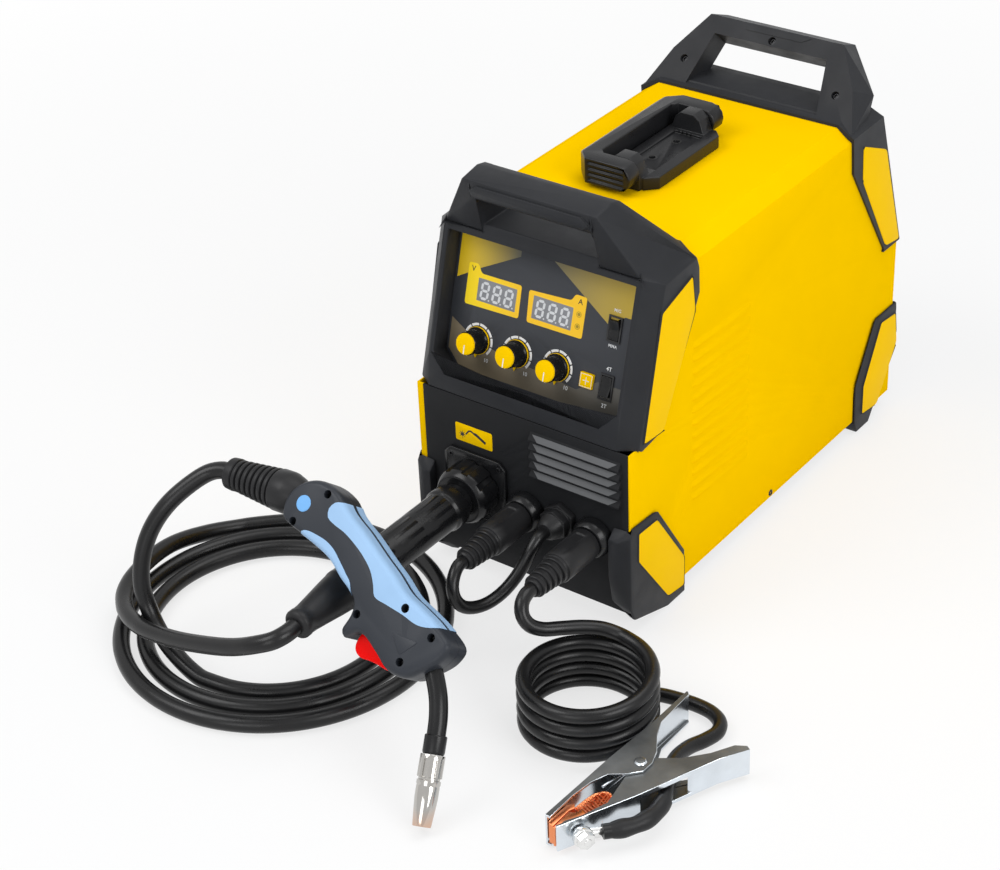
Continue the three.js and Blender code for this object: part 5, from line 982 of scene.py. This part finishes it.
def torch_half(side, word, outline, screws):
    """One half of the handle with pads, dot, badge and screws; the other half is its mirror image."""
    out = (0, 0, side)

    def add(name, bm, finish, **more):
        bm = bm if side > 0 else mirrored(bm)
        return piece(f"{name}_{word}", bm, finish, slot="torch_plastic", where=TORCH, **more)

    def slab(shape, near, far):
        return tool(prism(shape, *sorted((side * near, side * far))), TORCH)

    shell = add("torch_handle", pillow(outline, 0.15, HANDLE_HALF, *HANDLE_ROUND), SLATE,
                replaces=(f"torch_shell_{word}",))
    holes = bmesh.new()
    for x, y in TORCH_SCREWS:
        lathe(disc(3.3, 8, 20), (x, y, 0), out, 24, bm=holes)
        screw(screws, (x, y, side * 8.4), out, 3.0)
    boolean(shell, [tool(holes, TORCH), slab(TRIGGER_WELL, -1, 5.9)], "DIFFERENCE")
    settle(shell.data, 40)
    for label, pad in (("upper", LONG_PAD), ("lower", SHORT_PAD)):
        grown = pillow(inset(outline, -PAD_PROUD), 2.4, HANDLE_HALF + PAD_PROUD, *HANDLE_ROUND)
        soft = add(f"torch_pad_{label}", grown, SKY)
        boolean(soft, [slab(smooth_outline(pad, 3), 0, 30)], "INTERSECT")
        if label == "upper":
            hole = lathe(disc(3.5, 8, 20), (*PAD_SCREW, 0), out, 24)
            boolean(soft, [tool(hole, TORCH)], "DIFFERENCE")
        settle(soft.data, 40)
    dot = lathe([(0, 14.8), (6.4, 14.8), (6.4, 15.6), (6.0, 16.05), (0, 16.1)], (-57.9, 29.4, 0), sides=40)
    add("torch_dot", dot, DOT)
    add("torch_badge", pillow(rounded(BADGE, 3), 15, 15.85, 0.4, 0.4, 3), SLATE)


def torch_handle():
    outline = smooth_outline(HANDLE, 3.2)
    screws = bmesh.new()
    for side, word in ((1, "left"), (-1, "right")):
        torch_half(side, word, outline, screws)
    piece("torch_screws", screws, DARK_STEEL, slot="plated_steel", where=TORCH, sharp=50)
    blade = pillow(smooth_outline(TRIGGER, 1.6), 0, 5.2, 1.3, 1.6, 4, both=True)
    piece("trigger_blade", blade, RED, "torch_trigger_body", "red_plastic", ("torch_trigger",), TORCH)


def torch_boot():
    ribs = []
    for i in range(7):
        t = 34 + 5.6 * i
        r = 16 - 3.2 * i / 6
        ribs += [(r - 2, t), (r - 1.2, t + 0.3), (r - 0.2, t + 0.8), (r, t + 1.4), (r, t + 3.0),
                 (r - 0.4, t + 3.8), (r - 1.9, t + 4.3)]
    way = Vector((*BOOT["end"], 0)) - Vector((*BOOT["start"], 0))
    long = way.length
    boot = lathe([(0, 8), (12, 8), (14.6, 14), (15.4, 17), (16.4, 20), (16.7, 22.5), (16.7, 31.5),
                  (16.2, 32.8), *ribs, (12.9, 73), (13.1, 74.5), (12.6, long - 1), (11.4, long), (0, long)],
                 (*BOOT["start"], 0), way, 56)
    piece("torch_boot_rubber", boot, RUBBER, replaces=("torch_boot",), where=TORCH, sharp=44)


def neck_and_nozzle():
    bm = sweep(smooth_line(NECK_ROUTE, 2.5), 7, 32)
    lathe([(0, 0), (7.6, 0), (8.3, 0.8), (8.3, 12), (8.0, 13.4), (7.4, 14.1), (0, 14.1)], along_nozzle(0),
          NOZZLE_DIR, 48, bm=bm)
    piece("neck_tube", bm, CONNECTOR, replaces=("swan_neck",), where=TORCH)
    tip = lathe([(0, 30), (4, 30), (4, 52), (3.6, 54), (1.4, 58), (0.7, 58), (0.7, 40), (0, 40)],
                along_nozzle(2), NOZZLE_DIR, 32)
    piece("contact_tip", tip, COPPER, where=TORCH)

    def slots(a, r, t):
        return r - 1.0 * (math.cos(8 * a) > 0.5) if 3.5 < t < 16.1 else r

    cup = lathe([(7.7, 0), (9.0, 0), (9.2, 0.4), (9.2, 3.4), (9.2, 3.6), (9.2, 16), (9.2, 16.2),
                 (8.0, 16.6), (8.0, 18), (8.9, 18.4), (8.9, 21), (8.5, 21.8), (8.6, 23), (8.6, 30.5),
                 (8.2, 36), (6.9, 51), (6.6, 51.5), (5.7, 51.5), (5.6, 50), (7.1, 33), (7.7, 12)],
                along_nozzle(14.3), NOZZLE_DIR, 128, slots)
    piece("nozzle_cup", cup, NOZZLE, replaces=("gas_nozzle",), where=TORCH, sharp=44)


torch_handle()
torch_boot()
neck_and_nozzle()


# ---------- earth clamp
def clamp():
    for node in ("clamp_upper_jaw", "clamp_lower_jaw"):
        jaw = dress(node, [STEEL, ZINC_PAINTED_SHADE], 0.22, sharp=24, segments=1)
        for face in jaw.data.polygons:      # plated steel on the edge faces; the flat cheeks get a darker zinc copy of the metal as painted shade, picked by which way each face points
            face.material_index = int(abs(face.normal.z) > 0.9)
    dress("clamp_bolt", BRIGHT, 0.35)
    dress("clamp_contact_upper", COPPER, 0.4)
    dress("clamp_contact_lower", COPPER, 0.4)
    clamp_spring()
    cable_end()
    copper_braid()


def clamp_spring():
    x, y, radius, low, rise, wire = 211, -151, 7, 8, 15, 1.2
    first, last = 200, 2000
    coil = []
    for a in range(first, last + 1, 20):
        c, s = math.cos(math.radians(a)), math.sin(math.radians(a))
        coil.append((x + radius * c, y + radius * s, low + rise * (a - first) / (last - first)))
    leg = [(196.5, -120, 8), *smooth_line(coil, wire), (199, -182, 23)]
    piece("spring_wire", sweep(leg, wire, 10), STEEL, "clamp_upper", "plated_steel", ("clamp_spring",))


def cable_end():
    """The creased rubber sleeve on the earth cable and the lug that leads from it to the bolt."""
    sleeve = smooth_line(EARTH_ROUTE[-9:], 2)[-30:]      # the last 60 mm of the way

    def folds(t):
        return 6.6 + 0.5 * math.sin(19 * t) * (0.3 + t) - 1.6 * max(0, t - 0.86) / 0.14

    piece("cable_sleeve", sweep(sleeve, folds, 20), RUBBER, sharp=60)
    lug, bolt = Vector(EARTH_ROUTE[-1]), Vector((210.28, -225.327, 15))
    way = (bolt - lug).normalized()
    across = Vector((0, 0, 1))
    thick, wide = way.cross(across).normalized() * 0.8, across * 4.6
    bm = bmesh.new()
    skin(bm, [[bm.verts.new(p + wide * s + thick * k) for s, k in ((-1, -1), (1, -1), (1, 1), (-1, 1))]
              for p in (lug - way * 2, bolt + way)])
    piece("cable_lug", bm, BRIGHT, slot="plated_steel", bevel=0.3)


def copper_braid():
    """Crossing strands of a flat braid that bends from one jaw to the other."""
    route = smooth_line([(213.4, -206, 0), (214.4, -198, 0), (212.8, -190, 0), (206.6, -185.6, 0),
                         (200.4, -190, 0), (197.4, -200, 0), (196.2, -211.5, 0)], 0.7)
    strands, half_width, half_thick, mid, wire, pitch = 22, 7.6, 0.95, 15.7, 0.66, 44
    bm = bmesh.new()
    for k in range(strands):
        way = []
        for i, p in enumerate(route):
            a, b = route[max(i - 1, 0)], route[min(i + 1, len(route) - 1)]
            normal = Vector((-(b - a).y, (b - a).x, 0)).normalized()
            turn = 2 * math.pi * (k / strands + i / pitch * (1 if k % 2 else -1))
            across = Vector((0, 0, mid + half_width * math.sin(turn)))
            way.append(p + across + normal * (half_thick * math.cos(turn)))
        sweep(way, wire, 6, bm)
    bm.transform(MACHINE)
    obj = into_scene("copper_braid", as_mesh("copper_braid", bm))
    obj.data.materials.append(COPPER)
    settle(obj.data, 60)
    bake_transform(obj)


clamp()


# ---------- inside
def board_finish():
    """Green board, and black in front of it, where the switch frames are."""
    green, black = (0.03, 0.16, 0.07), (0.012, 0.012, 0.013)
    m = material("board_and_switch_frames", green, 0.42, grain=500, bump=0.10)
    tree = m.node_tree
    out = FACE.to_3x3().col[2].normalized()
    edge = (FACE @ Vector((0, 0, SHEET_TOP - 3))).dot(out)
    reach = add_node(tree, "VectorMath", {0: object_place(tree), 1: out}, operation="DOT_PRODUCT")
    front = add_node(tree, "Math", {0: reach.outputs["Value"], 1: edge}, operation="GREATER_THAN")
    feed(tree, tree.nodes["Principled BSDF"], {"Base Color": mixed(tree, front.outputs[0], green, black)})
    return m


def inside():
    for node, finish in (("base_chassis", GREY_SHEET), ("feed_unit", GREY_SHEET), ("spool_hub", BLACK),
                         ("wire_spool", WOUND), ("power_board", SINK), ("fan_housing", BLACK),
                         ("fan_rotor", BLACK), ("control_board", board_finish())):
        NODES[node].data.materials.clear()
        NODES[node].data.materials.append(finish)


inside()
